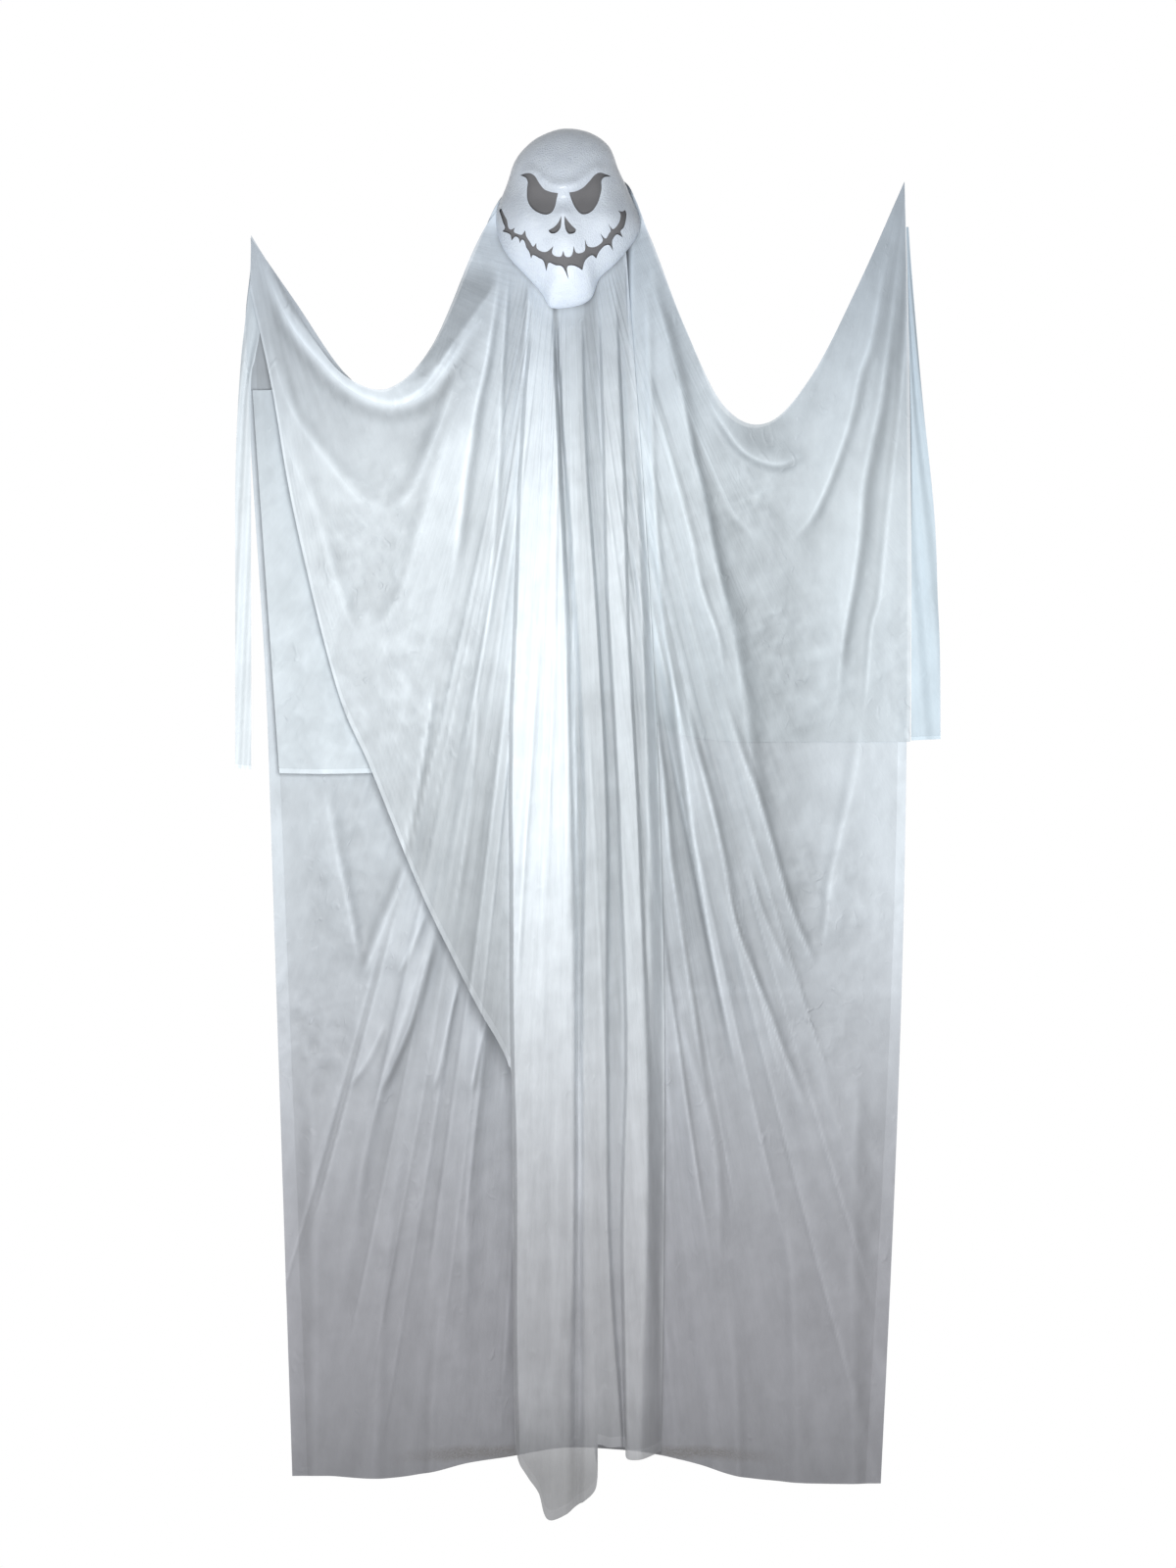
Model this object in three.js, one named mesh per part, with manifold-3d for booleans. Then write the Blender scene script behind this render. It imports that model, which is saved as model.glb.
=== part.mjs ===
// Hanging ghost decoration, about 2.1 m tall: a moulded mask glued to a foam head, with three
// layers of sheer cloth hung from the head and from a pointed wrist on each side.
// Millimetres, +Z up, front towards -Y. The origin is the hole of the screw eye that it hangs by.
// Drops are measured down from the top of the mask's dome, and depths back from the mask's rim.
import * as THREE from "three";
import { mergeVertices } from "three/addons/utils/BufferGeometryUtils.js";
import Module from "manifold-3d";

// Mask and head
const headWidth = 220;
const headHeight = 276;
const headMiddleX = 5;
const maskDepth = 72;
const maskWall = 1.6;
const gauzeThickness = 0.8;
const gauzeGap = 3.6;
const gauzeMargin = 6;
const coreSideRoom = 29;
const coreTopRoom = 9;
const coreFrontRoom = 14;
const coreBackDepth = 78;
const gluePadRadius = 9;
const hoodSetBack = 3;

// Cloth
const clothThickness = 1.2;
const seamGap = 0.5;
const layerRoom = 15;
const hangDepth = 42;
const leftReach = 481;
const leftTipDrop = 163;
const leftDipDrop = 396;
const rightReach = 519;
const rightTipDrop = 79;
const rightDipDrop = 449;
const capeHemDrop = 938;
const backHemDrop = 2066;
const cornerDrop = 2126;
const cuffWidth = 24;
const cuffGap = 0.5;

// Hanging hardware
const eyeSetBack = 30;
const eyeRadius = 6;
const eyeWire = 1.5;
const eyeShankLength = 34;
const washerRadius = 9;
const washerThickness = 1.2;
const tabWidth = 9;
const tabTail = 14;
const tabWall = 0.6;
const ringWire = 0.9;
const ringInnerWidth = 14;
const ringInnerHeight = 11;
const ringDropBelowTip = 60;
const touchGap = 0.3;
const runningGap = 0.6;

const { clamp, lerp, smoothstep } = THREE.MathUtils;
const wasm = await Module();
wasm.setup();

// Materials
const finish = (color, roughness, metalness = 0) =>
  new THREE.MeshStandardMaterial({ color, roughness, metalness });
const mouldedWhite = finish(0xeceef2, 0.3);
const sheerWhite = finish(0xe3e8f0, 0.85);
const foamWhite = finish(0xf3f2ee, 0.9);
const darkGauze = finish(0x74757c, 0.9);
const glueClear = finish(0xe6e2d2, 0.4);
const zincSteel = finish(0xb9bcc0, 0.35, 1);
const clearPlastic = finish(0xe9eef2, 0.2);
const whiteTape = finish(0xf0f0f0, 0.8);

const ghost = new THREE.Group();
export default ghost;

function addPiece(name, geometry, material, parent = ghost) {
  const piece = new THREE.Mesh(geometry, material);
  piece.name = name;
  parent.add(piece);
  return piece;
}

function bodyOf(vertices, faces) {
  const body = new THREE.BufferGeometry();
  body.setAttribute("position", new THREE.Float32BufferAttribute(vertices.flat(), 3));
  body.setIndex(faces.flat());
  return body;
}

// Joining and cutting
function solidOf(geometry) {
  const bare = new THREE.BufferGeometry();
  bare.setAttribute("position", geometry.getAttribute("position").clone());
  bare.setIndex(geometry.index ? geometry.index.clone() : null);
  const merged = mergeVertices(bare, 1e-4);
  const triVerts = new Uint32Array(merged.index.array);
  const vertProperties = new Float32Array(merged.attributes.position.array);
  return new wasm.Manifold(new wasm.Mesh({ numProp: 3, vertProperties, triVerts }));
}

function geometryOf(solid) {
  const mesh = solid.getMesh();
  const body = new THREE.BufferGeometry();
  body.setAttribute("position", new THREE.BufferAttribute(mesh.vertProperties, 3));
  body.setIndex(new THREE.BufferAttribute(mesh.triVerts, 1));
  return body;
}

function cut(geometry, ...tools) {
  const left = tools.reduce((solid, tool) => solid.subtract(solidOf(tool)), solidOf(geometry));
  return geometryOf(left);
}

// A smooth line through points given as [x, drop]
function lineThrough(points, closed = false) {
  const corners = points.map(([x, drop]) => new THREE.Vector3(x, drop, 0));
  return new THREE.CatmullRomCurve3(corners, closed, "catmullrom", 0.5);
}

// Mask outline, clockwise from the top of the dome: sideways as a share of half the width, and
// down as a share of the height. The two sides differ a little, because the face looks aside.
const maskOutlineShares = [
  [-0.02, 0], [0.3, 0.024], [0.56, 0.1], [0.7, 0.235], [0.87, 0.38], [0.99, 0.515],
  [0.93, 0.61], [0.66, 0.745], [0.43, 0.83], [0.33, 0.93], [0.2, 0.972], [-0.03, 0.993],
  [-0.25, 0.99], [-0.39, 0.905], [-0.62, 0.805], [-0.86, 0.7], [-0.99, 0.58], [-1, 0.46],
  [-0.86, 0.31], [-0.74, 0.175], [-0.53, 0.078], [-0.28, 0.022],
];
const faceMiddleDrop = 0.48 * headHeight;
const halfHead = headWidth / 2;
const outlineSteps = 52;

// Distance from the middle of the face to the outline, in evenly spaced directions
function outlineRadii() {
  const shares = maskOutlineShares.map(([side, down]) => [side * halfHead, down * headHeight]);
  const around = lineThrough(shares, true).getPoints(720);
  const fromMiddle = around.map((p) => {
    const side = p.x;
    const up = faceMiddleDrop - p.y;
    return { turn: Math.atan2(up, side), radius: Math.hypot(side, up) };
  });
  return Array.from({ length: outlineSteps }, (_, step) => {
    const turn = (step / outlineSteps) * 2 * Math.PI - Math.PI;
    const nearest = fromMiddle.reduce((best, p) =>
      Math.abs(p.turn - turn) < Math.abs(best.turn - turn) ? p : best);
    return nearest.radius;
  });
}
const rimRadii = outlineRadii();

function rimRadius(turn) {
  const place = (((turn + Math.PI) / (2 * Math.PI)) * outlineSteps + outlineSteps) % outlineSteps;
  const step = Math.floor(place);
  return lerp(rimRadii[step], rimRadii[(step + 1) % outlineSteps], place - step);
}

// The features are drawn on a face of this size, and stretched to the mask's
const drawnWidth = 220;
const drawnHeight = 276;
const onFace = ([x, drop, ...rest]) =>
  [(x * headWidth) / drawnWidth, (drop * headHeight) / drawnHeight, ...rest];

// Swellings of the face, as [x, drop, height, radius]: brow, sockets, nose, cheeks, lips, chin
const faceSwells = [
  [-54, 70, 4, 9], [-44, 76, 4, 10], [-35, 86, 5, 10], [-24, 95, 6, 11], [-12, 98, 5, 11],
  [-2, 97, 4, 12], [9, 97, 5, 11], [20, 93, 6, 11], [31, 84, 5, 10], [41, 74, 4, 10],
  [51, 67, 4, 9], [-4, 74, 6, 26], [-36, 114, -8, 23], [32, 113, -8, 23], [-3, 138, 7, 12],
  [-68, 148, 7, 24], [70, 148, 7, 24], [-4, 184, 7, 26], [2, 236, 9, 24],
  [-60, 212, -6, 20], [66, 208, -6, 20], [-80, 98, -4, 18], [82, 98, -4, 18],
].map(onFace);

function swellAt(x, drop) {
  return faceSwells.reduce((sum, [middleX, middleDrop, height, radius]) => {
    const away = Math.hypot(x - middleX, drop - middleDrop) / radius;
    return sum + height * Math.exp(-away * away);
  }, 0);
}

// How far the mask's skin stands forward of its rim, for a skin drawn in by an inset
function maskStand(x, drop, inset) {
  const side = x - headMiddleX;
  const up = faceMiddleDrop - drop;
  const away = Math.hypot(side, up) / (rimRadius(Math.atan2(up, side)) - inset);
  if (away >= 1) return 0;
  const dome = (maskDepth - inset) * (1 - away ** 2.4) ** 0.6;
  return dome + swellAt(x, drop) * (1 - away ** 6);
}

// A closed solid between a front skin and a back skin, both on rings round one middle point.
// frontAt and backAt give [x, depth, drop] for a turn and a share of the way to the rim.
function domedSolid(rings, turns, frontAt, backAt) {
  const vertices = [];
  const faces = [];
  const at = (skin, ring, step) => {
    if (ring === 0) return skin * (rings * turns + 1);
    return skin * (rings * turns + 1) + 1 + (ring - 1) * turns + (step % turns);
  };
  for (const skinAt of [frontAt, backAt]) {
    for (let ring = 0; ring <= rings; ring++) {
      for (let step = 0; step < (ring ? turns : 1); step++) {
        const [x, depth, drop] = skinAt((step / turns) * 2 * Math.PI, ring / rings);
        vertices.push([x, depth, -drop]);
      }
    }
  }
  for (let step = 0; step < turns; step++) {
    faces.push([at(0, 0, 0), at(0, 1, step), at(0, 1, step + 1)]);
    faces.push([at(1, 0, 0), at(1, 1, step + 1), at(1, 1, step)]);
    for (let ring = 1; ring < rings; ring++) {
      const quad = (skin) => [at(skin, ring, step), at(skin, ring + 1, step),
        at(skin, ring + 1, step + 1), at(skin, ring, step + 1)];
      const [a, b, c, d] = quad(0);
      faces.push([a, b, c], [a, c, d]);
      const [e, f, g, h] = quad(1);
      faces.push([e, g, f], [e, h, g]);
    }
    const [a, b] = [at(0, rings, step), at(0, rings, step + 1)];
    const [c, d] = [at(1, rings, step), at(1, rings, step + 1)];
    faces.push([a, c, d], [a, d, b]);
  }
  return bodyOf(vertices, faces);
}

// Mask shell, as a skin and an inner skin drawn in by the wall
const maskSkin = (inset) => (turn, share) => {
  const reach = Math.sin((share * Math.PI) / 2) * (rimRadius(turn) - inset);
  const x = headMiddleX + reach * Math.cos(turn);
  const drop = faceMiddleDrop - reach * Math.sin(turn);
  return [x, share === 1 ? 0 : -maskStand(x, drop, inset), drop];
};

// Cut-outs, as [x, drop] outlines
const leftEye = [
  [-69, 76], [-61, 74], [-53, 75], [-46, 80], [-40, 90], [-32, 100], [-21, 105], [-11, 107],
  [-13, 115], [-16, 128], [-21, 136], [-29, 139], [-38, 137], [-48, 131], [-55, 122],
  [-58, 111], [-58, 97], [-57, 88], [-60, 81],
].map(onFace);
const rightEye = [
  [6, 106], [16, 104], [27, 98], [36, 89], [44, 79], [52, 74], [61, 75], [70, 78], [60, 80],
  [55, 86], [55, 98], [53, 109], [49, 121], [42, 132], [33, 138], [24, 138], [16, 130],
  [10, 118],
].map(onFace);
const leftNostril = [
  [-6, 142], [-6, 152], [-8, 161], [-14, 167], [-21, 168], [-25, 163], [-18, 159],
  [-11, 152],
].map(onFace);
const rightNostril = [
  [-1, 142], [4, 149], [11, 157], [16, 162], [14, 167], [6, 169], [1, 163], [-1, 152],
].map(onFace);
// The grin, along its upper edge from left to right and back along its lower edge, with thorns
const grin = [
  [-98, 125], [-94, 134], [-89, 144], [-87, 155], [-83, 159], [-77, 157], [-78, 163],
  [-73, 166], [-66, 168], [-61, 162], [-59, 171], [-53, 180], [-49, 186], [-44, 181],
  [-43, 189], [-35, 194], [-27, 194], [-18, 187], [-20, 197], [-14, 202], [-6, 202],
  [-3, 194], [0, 202], [7, 203], [11, 198], [13, 187], [16, 196], [23, 197], [30, 192],
  [30, 176], [34, 186], [44, 187], [53, 182], [57, 176], [53, 167], [61, 174], [66, 167],
  [69, 162], [65, 152], [72, 160], [79, 154], [83, 146], [84, 137], [80, 131], [86, 132],
  [91, 129], [93, 135], [92, 145], [89, 156], [84, 162], [88, 171], [79, 167], [73, 173],
  [71, 180], [73, 191], [67, 183], [59, 185], [51, 194], [47, 203], [40, 199], [30, 208],
  [26, 222], [14, 216], [3, 218], [5, 236], [-4, 218], [-15, 215], [-25, 211], [-29, 223],
  [-33, 208], [-40, 203], [-49, 198], [-52, 203], [-55, 193], [-59, 187], [-62, 178],
  [-66, 175], [-69, 180], [-71, 173], [-76, 170], [-82, 175], [-83, 168], [-87, 164],
  [-96, 160], [-92, 155], [-95, 147], [-98, 137], [-101, 127],
].map(onFace);

function cutterFor(outline) {
  const shape = new THREE.Shape(outline.map(([x, drop]) => new THREE.Vector2(x, -drop)));
  const block = new THREE.ExtrudeGeometry(shape, { depth: 2 * maskDepth, bevelEnabled: false });
  return block.rotateX(Math.PI / 2);
}

const blankMask = domedSolid(12, outlineSteps, maskSkin(0), maskSkin(maskWall));
const cutOuts = [leftEye, rightEye, leftNostril, rightNostril, grin];
addPiece("face_mask", cut(blankMask, ...cutOuts.map(cutterFor)), mouldedWhite);

// Gauze glued behind each cut-out, following the inner skin
function gauzePatch(name, [middleX, middleDrop, halfWidth, halfHeight], gap) {
  const skin = (inset) => (turn, share) => {
    const square = share / (Math.cos(turn) ** 4 + Math.sin(turn) ** 4) ** 0.25;
    const x = middleX + square * halfWidth * Math.cos(turn);
    const drop = middleDrop - square * halfHeight * Math.sin(turn);
    return [x, -maskStand(x, drop, maskWall) + inset, drop];
  };
  const patch = domedSolid(4, 24, skin(gap), skin(gap + gauzeThickness));
  addPiece(name, patch, darkGauze);
}

// Middle and half sizes of an outline with the gauze's margin round it
function frameOf(outline) {
  const xs = outline.map(([x]) => x);
  const drops = outline.map(([, drop]) => drop);
  const [low, high] = [Math.min(...xs), Math.max(...xs)];
  const [top, foot] = [Math.min(...drops), Math.max(...drops)];
  const margin = gauzeMargin;
  return [(low + high) / 2, (top + foot) / 2, (high - low) / 2 + margin, (foot - top) / 2 + margin];
}
gauzePatch("eye_gauze_left", frameOf(leftEye), gauzeGap);
gauzePatch("eye_gauze_right", frameOf(rightEye), gauzeGap);
const noseGauzeGap = gauzeGap + gauzeThickness + 2 * seamGap;
gauzePatch("nose_gauze", frameOf([...leftNostril, ...rightNostril]), noseGauzeGap);

// A closed sheet of one thickness between a front skin and the same skin moved back.
// frontAt gives [x, depth, drop] for a share across and a share down.
function sheetSolid(columns, rows, thickness, frontAt) {
  const vertices = [];
  const faces = [];
  const at = (skin, column, row) => (skin * (rows + 1) + row) * (columns + 1) + column;
  for (const skin of [0, 1]) {
    for (let row = 0; row <= rows; row++) {
      for (let column = 0; column <= columns; column++) {
        const [x, depth, drop] = frontAt(column / columns, row / rows);
        vertices.push([x, depth + skin * thickness, -drop]);
      }
    }
  }
  const wall = (a, b, c, d) => faces.push([a, b, c], [a, c, d]);
  for (let column = 0; column < columns; column++) {
    for (let row = 0; row < rows; row++) {
      wall(at(0, column, row), at(0, column, row + 1),
        at(0, column + 1, row + 1), at(0, column + 1, row));
      wall(at(1, column, row), at(1, column + 1, row),
        at(1, column + 1, row + 1), at(1, column, row + 1));
    }
    wall(at(0, column, 0), at(0, column + 1, 0), at(1, column + 1, 0), at(1, column, 0));
    wall(at(0, column, rows), at(1, column, rows),
      at(1, column + 1, rows), at(0, column + 1, rows));
  }
  for (let row = 0; row < rows; row++) {
    wall(at(0, 0, row), at(1, 0, row), at(1, 0, row + 1), at(0, 0, row + 1));
    wall(at(0, columns, row), at(0, columns, row + 1),
      at(1, columns, row + 1), at(1, columns, row));
  }
  return bodyOf(vertices, faces);
}

// Gauze behind the grin: a curved band, wider below for the long thorns
const grinGauzeAbove = 27;
const grinGauzeBelow = 26;
const grinLine = [
  [-96, 140], [-88, 160], [-68, 172], [-53, 190], [-34, 203], [-2, 212], [20, 206], [46, 191],
  [66, 176], [82, 161], [88, 142],
].map(onFace);
const grinMiddle = lineThrough(grinLine);
const grinGauze = sheetSolid(26, 4, gauzeThickness, (along, across) => {
  const p = grinMiddle.getPoint(along);
  const heading = grinMiddle.getTangent(along);
  const room = 0.25 + 2.9 * along * (1 - along);
  const out = room * lerp(-grinGauzeAbove, grinGauzeBelow, across);
  const x = p.x - heading.y * out;
  const drop = p.y + heading.x * out;
  return [x, -maskStand(x, drop, maskWall) + gauzeGap + gauzeThickness, drop];
});
addPiece("mouth_gauze", grinGauze, darkGauze);

// Foam head: an egg that fills the mask and the hood, widest in the plane of the rim
const coreMiddleDrop = 0.457 * headHeight;
const coreHalfWidth = halfHead - coreSideRoom;
const coreHalfHeight = coreMiddleDrop - coreTopRoom;
const coreFrontDepth = maskDepth - coreFrontRoom;
const eggRings = 7;
const eggTurns = 28;

// One half of the egg's skin: depth is negative in front, and start is where its rim lies
const eggSkin = (depth, start, grow) => (turn, share) => {
  const reach = Math.sin((share * Math.PI) / 2);
  const out = share === 1 ? 0 : Math.cos((share * Math.PI) / 2);
  return [
    headMiddleX + reach * (coreHalfWidth + grow) * Math.cos(turn),
    start + (depth + Math.sign(depth) * grow) * out,
    coreMiddleDrop - reach * (coreHalfHeight + grow) * Math.sin(turn),
  ];
};
const core = domedSolid(eggRings, eggTurns, eggSkin(-coreFrontDepth, -1, 0),
  eggSkin(coreBackDepth, 1, 0));

// Hood: cloth drawn over the back of the head
const hoodRoom = seamGap + clothThickness;
const hood = domedSolid(eggRings, eggTurns, eggSkin(coreBackDepth, hoodSetBack, seamGap),
  eggSkin(coreBackDepth, hoodSetBack, hoodRoom));

// Glue pads that hold the mask to the forehead of the foam
function coreStand(x, drop) {
  const side = (x - headMiddleX) / coreHalfWidth;
  const up = (coreMiddleDrop - drop) / coreHalfHeight;
  return 1 + coreFrontDepth * Math.sqrt(Math.max(0, 1 - side * side - up * up));
}
function gluePad(name, middleX, middleDrop) {
  const skin = (depthAt) => (turn, share) => {
    const x = middleX + share * gluePadRadius * Math.cos(turn);
    const drop = middleDrop - share * gluePadRadius * Math.sin(turn);
    return [x, depthAt(x, drop), drop];
  };
  const front = (x, drop) => -maskStand(x, drop, maskWall + touchGap) + touchGap;
  const back = (x, drop) => -coreStand(x, drop) - touchGap;
  addPiece(name, domedSolid(2, 10, skin(front), skin(back)), glueClear);
}
const padDrop = 0.17 * headHeight;
gluePad("glue_pad_left", headMiddleX - 27, padDrop);
gluePad("glue_pad_right", headMiddleX + 27, padDrop);

// Screw eye and washer on the crown, square to the hood behind the dome
const crown = new THREE.Group();
const crownOut = (eyeSetBack - hoodSetBack) / (coreBackDepth + hoodRoom);
const crownReach = Math.sqrt(1 - crownOut ** 2);
const crownDrop = coreMiddleDrop - crownReach * (coreHalfHeight + hoodRoom);
const crownLean = Math.atan2(crownOut / (coreBackDepth + hoodRoom),
  crownReach / (coreHalfHeight + hoodRoom));
crown.position.set(headMiddleX, eyeSetBack, -crownDrop);
crown.rotation.x = -crownLean;
crown.updateMatrix();
ghost.add(crown);

const washerTop = touchGap + washerThickness;
const eyeLift = washerTop + touchGap + eyeRadius + eyeWire;
const shank = (radius, top) => {
  const rod = new THREE.CylinderGeometry(radius, radius, eyeShankLength + top, 12);
  return rod.rotateX(Math.PI / 2).translate(0, 0, (top - eyeShankLength) / 2);
};
const eyeLoop = new THREE.TorusGeometry(eyeRadius, eyeWire, 6, 20).rotateX(Math.PI / 2);
eyeLoop.translate(0, 0, eyeLift);
const screwEye = solidOf(shank(eyeWire, eyeLift - eyeRadius)).add(solidOf(eyeLoop));
addPiece("crown_screw_eye", geometryOf(screwEye), zincSteel, crown);

const washerRing = new THREE.Shape().absarc(0, 0, washerRadius, 0, 2 * Math.PI);
washerRing.holes.push(new THREE.Path().absarc(0, 0, eyeWire + touchGap, 0, 2 * Math.PI, true));
const washer = new THREE.ExtrudeGeometry(washerRing,
  { depth: washerThickness, bevelEnabled: false, curveSegments: 10 });
addPiece("crown_washer", washer.translate(0, 0, touchGap), zincSteel, crown);

const shankHole = () => shank(eyeWire + touchGap, washerTop).applyMatrix4(crown.matrix);
addPiece("head_core", cut(core, shankHole()), foamWhite);
addPiece("hood", cut(hood, shankHole()), sheerWhite);
const hangPoint = new THREE.Vector3(0, 0, eyeLift).applyMatrix4(crown.matrix);
ghost.position.copy(hangPoint).negate();

// Folds of the cloth. A fold is a ridge along a line of [x, drop] points, with its height
// forward and its half width; a height below zero is a groove.
const fold = (height, width, ...points) => ({ height, width, points });
const backFolds = [
  fold(13, 20, [-170, 1120], [-244, 1350], [-300, 1520], [-330, 1700]),
  fold(12, 18, [-150, 1240], [-205, 1480], [-235, 1720]),
  fold(12, 18, [-112, 1330], [-145, 1560], [-160, 1850]),
  fold(15, 20, [-375, 930], [-354, 1090], [-315, 1307]),
  fold(12, 20, [-215, 1130], [-262, 1250], [-315, 1307]),
  fold(13, 20, [150, 700], [181, 986], [213, 1168], [243, 1324], [291, 1560]),
  fold(12, 18, [112, 778], [126, 1090], [145, 1314], [168, 1620]),
  fold(12, 18, [160, 1115], [190, 1320], [228, 1560], [240, 1800]),
  fold(12, 20, [215, 960], [264, 1204], [320, 1370], [384, 1550]),
  fold(14, 20, [462, 760], [425, 1100], [387, 1292]),
  fold(12, 20, [290, 980], [340, 1190], [387, 1292]),
  fold(12, 26, [-392, 1430], [-385, 1760], [-388, 2250]),
  fold(11, 24, [-262, 1640], [-285, 1850], [-300, 2250]),
  fold(10, 22, [-190, 1760], [-205, 1950], [-210, 2250]),
  fold(12, 26, [448, 1420], [440, 1760], [446, 2250]),
  fold(11, 24, [338, 1640], [352, 1850], [356, 2250]),
  fold(10, 22, [250, 1800], [262, 1950], [270, 2250]),
];
const capeFolds = [
  fold(16, 20, [500, 175], [471, 287], [439, 396], [388, 563], [360, 640]),
  fold(-9, 15, [478, 310], [430, 450], [399, 553], [325, 670]),
  fold(13, 17, [496, 330], [477, 458], [450, 580], [415, 740]),
  fold(-9, 13, [512, 220], [498, 380], [481, 511], [462, 680], [440, 840]),
  fold(18, 22, [118, 200], [154, 292], [170, 407], [195, 536], [230, 680], [275, 850]),
  fold(-10, 16, [150, 420], [185, 620], [230, 800]),
  fold(15, 15, [250, 446], [262, 490], [304, 526], [346, 528], [385, 500]),
  fold(-8, 13, [262, 425], [300, 470], [345, 478], [392, 430]),
];
const frontFolds = [
  fold(30, 34, [-38, 330], [-46, 613], [-40, 850], [-36, 1150], [-34, 1600], [-28, 2100]),
  fold(-10, 11, [-20, 320], [-4, 580], [13, 850], [18, 1150], [20, 1600], [28, 2080]),
  fold(14, 13, [6, 330], [20, 600], [30, 850], [36, 1200]),
  fold(24, 18, [64, 320], [78, 613], [86, 850], [90, 1150], [84, 1600], [70, 2010]),
  fold(-8, 10, [84, 330], [98, 613], [106, 850], [110, 1150], [106, 1600], [94, 2010]),
  fold(18, 17, [104, 330], [118, 500], [130, 700], [134, 1000], [130, 1500], [122, 2030]),
  fold(20, 18, [-104, 230], [-124, 364], [-140, 470], [-158, 600], [-172, 700], [-200, 800]),
  fold(13, 18, [-455, 215], [-395, 325], [-340, 392], [-276, 418], [-225, 402], [-165, 290]),
  fold(-8, 12, [-424, 296], [-380, 364], [-327, 418], [-276, 446], [-215, 436], [-155, 320]),
  fold(12, 22, [-465, 250], [-410, 430], [-330, 600], [-240, 690], [-190, 640]),
  fold(9, 20, [-478, 270], [-440, 440], [-385, 640], [-300, 830], [-220, 900]),
];
const foldLines = new Map([...backFolds, ...capeFolds, ...frontFolds].map((one) =>
  [one, lineThrough(one.points).getPoints(24)]));
const foldFade = 0.16;

// Distance from a place to one stretch of a line, and how far along the stretch it is nearest
function offStretch(from, to, x, drop) {
  const [runX, runDrop] = [to.x - from.x, to.y - from.y];
  const share = ((x - from.x) * runX + (drop - from.y) * runDrop) / (runX ** 2 + runDrop ** 2);
  const inside = clamp(share, 0, 1);
  return [Math.hypot(from.x + inside * runX - x, from.y + inside * runDrop - drop), inside];
}

// How far a set of folds stands forward at a place on the cloth
function foldsAt(folds, x, drop) {
  return folds.reduce((sum, one) => {
    const line = foldLines.get(one);
    let [nearest, along] = [Infinity, 0];
    for (let step = 1; step < line.length; step++) {
      const [away, inside] = offStretch(line[step - 1], line[step], x, drop);
      if (away < nearest) [nearest, along] = [away, (step - 1 + inside) / (line.length - 1)];
    }
    const ends = smoothstep(along, 0, foldFade) * (1 - smoothstep(along, 1 - foldFade, 1));
    return sum + one.height * ends * Math.exp(-((nearest / one.width) ** 2));
  }, 0);
}

// Depths of the three layers. They lie flat on each other at the wrists, open out below, and
// each layer takes on the folds of the ones behind it.
const tipDepth = 6;
const tipFlat = 80;
const tipOpening = 360;
const layerStep = clothThickness + seamGap;
const hoodBack = hoodSetBack + coreBackDepth + hoodRoom;
const spanMiddle = (rightReach - leftReach) / 2;
const spanHalf = (rightReach + leftReach) / 2;

function opening(x, drop) {
  const left = Math.hypot(x + leftReach, drop - leftTipDrop);
  const right = Math.hypot(x - rightReach, drop - rightTipDrop);
  return smoothstep(Math.min(left, right), tipFlat, tipFlat + tipOpening);
}
function hangingDepth(x, drop) {
  const side = Math.abs(x - spanMiddle) / (1.1 * spanHalf);
  const hang = hangDepth * Math.max(0, 1 - side ** 2) * smoothstep(drop, 200, 900);
  const headSide = Math.abs(x - headMiddleX) / (0.86 * halfHead);
  const behindHead = Math.exp(-(headSide ** 4)) * (1 - smoothstep(drop, 0.95 * headHeight, 720));
  const headRoom = hoodBack + seamGap - tipDepth + layerStep;
  return tipDepth + opening(x, drop) * hang + headRoom * behindHead;
}
function capeDepth(x, drop) {
  const folds = foldsAt(backFolds, x, drop) + foldsAt(capeFolds, x, drop);
  return hangingDepth(x, drop) - layerStep - opening(x, drop) * folds;
}
function backDepth(x, drop) {
  const nearHead = Math.exp(-(((x - headMiddleX) / coreHalfWidth) ** 4));
  const room = layerRoom * (1 - 0.75 * nearHead * (1 - smoothstep(drop, headHeight, 2 * headHeight)));
  const open = opening(x, drop);
  return hangingDepth(x, drop) + open * (room - foldsAt(backFolds, x, drop));
}
function outsideRim(x, drop) {
  const side = x - headMiddleX;
  const up = faceMiddleDrop - drop;
  return smoothstep(Math.hypot(side, up) / rimRadius(Math.atan2(up, side)), 1, 1.25);
}
function frontDepth(x, drop, across) {
  const open = opening(x, drop);
  const onCape = capeDepth(x, drop) - layerStep - open * layerRoom;
  const centre = lerp(seamGap, -4, smoothstep(drop, headHeight, 2.2 * headHeight));
  const toCentre = smoothstep(x, -1.8 * halfHead, -0.85 * halfHead);
  const toRightEdge = smoothstep(across, 0.93, 1) * smoothstep(drop, 0.75 * headHeight, 500);
  const base = lerp(lerp(onCape, centre, toCentre), onCape, toRightEdge);
  return base - open * outsideRim(x, drop) * foldsAt(frontFolds, x, drop);
}

// A layer of cloth between its upper line and its hem, both given as [x, drop] points in pairs.
// Its rows crowd towards the upper line, where the folds are tightest.
const rowCrowding = 1.4;
function clothPiece(name, columns, rows, pairs, depthAt, bowAt = () => 0) {
  const upper = lineThrough(pairs.map(([top]) => top));
  const lower = lineThrough(pairs.map(([, hem]) => hem));
  const sheet = sheetSolid(columns, rows, clothThickness, (across, share) => {
    const down = share ** rowCrowding;
    const place = upper.getPoint(across).lerp(lower.getPoint(across), down);
    const x = place.x + bowAt(across, down);
    return [x, depthAt(x, place.y, across), place.y];
  });
  addPiece(name, sheet, sheerWhite);
}

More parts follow.
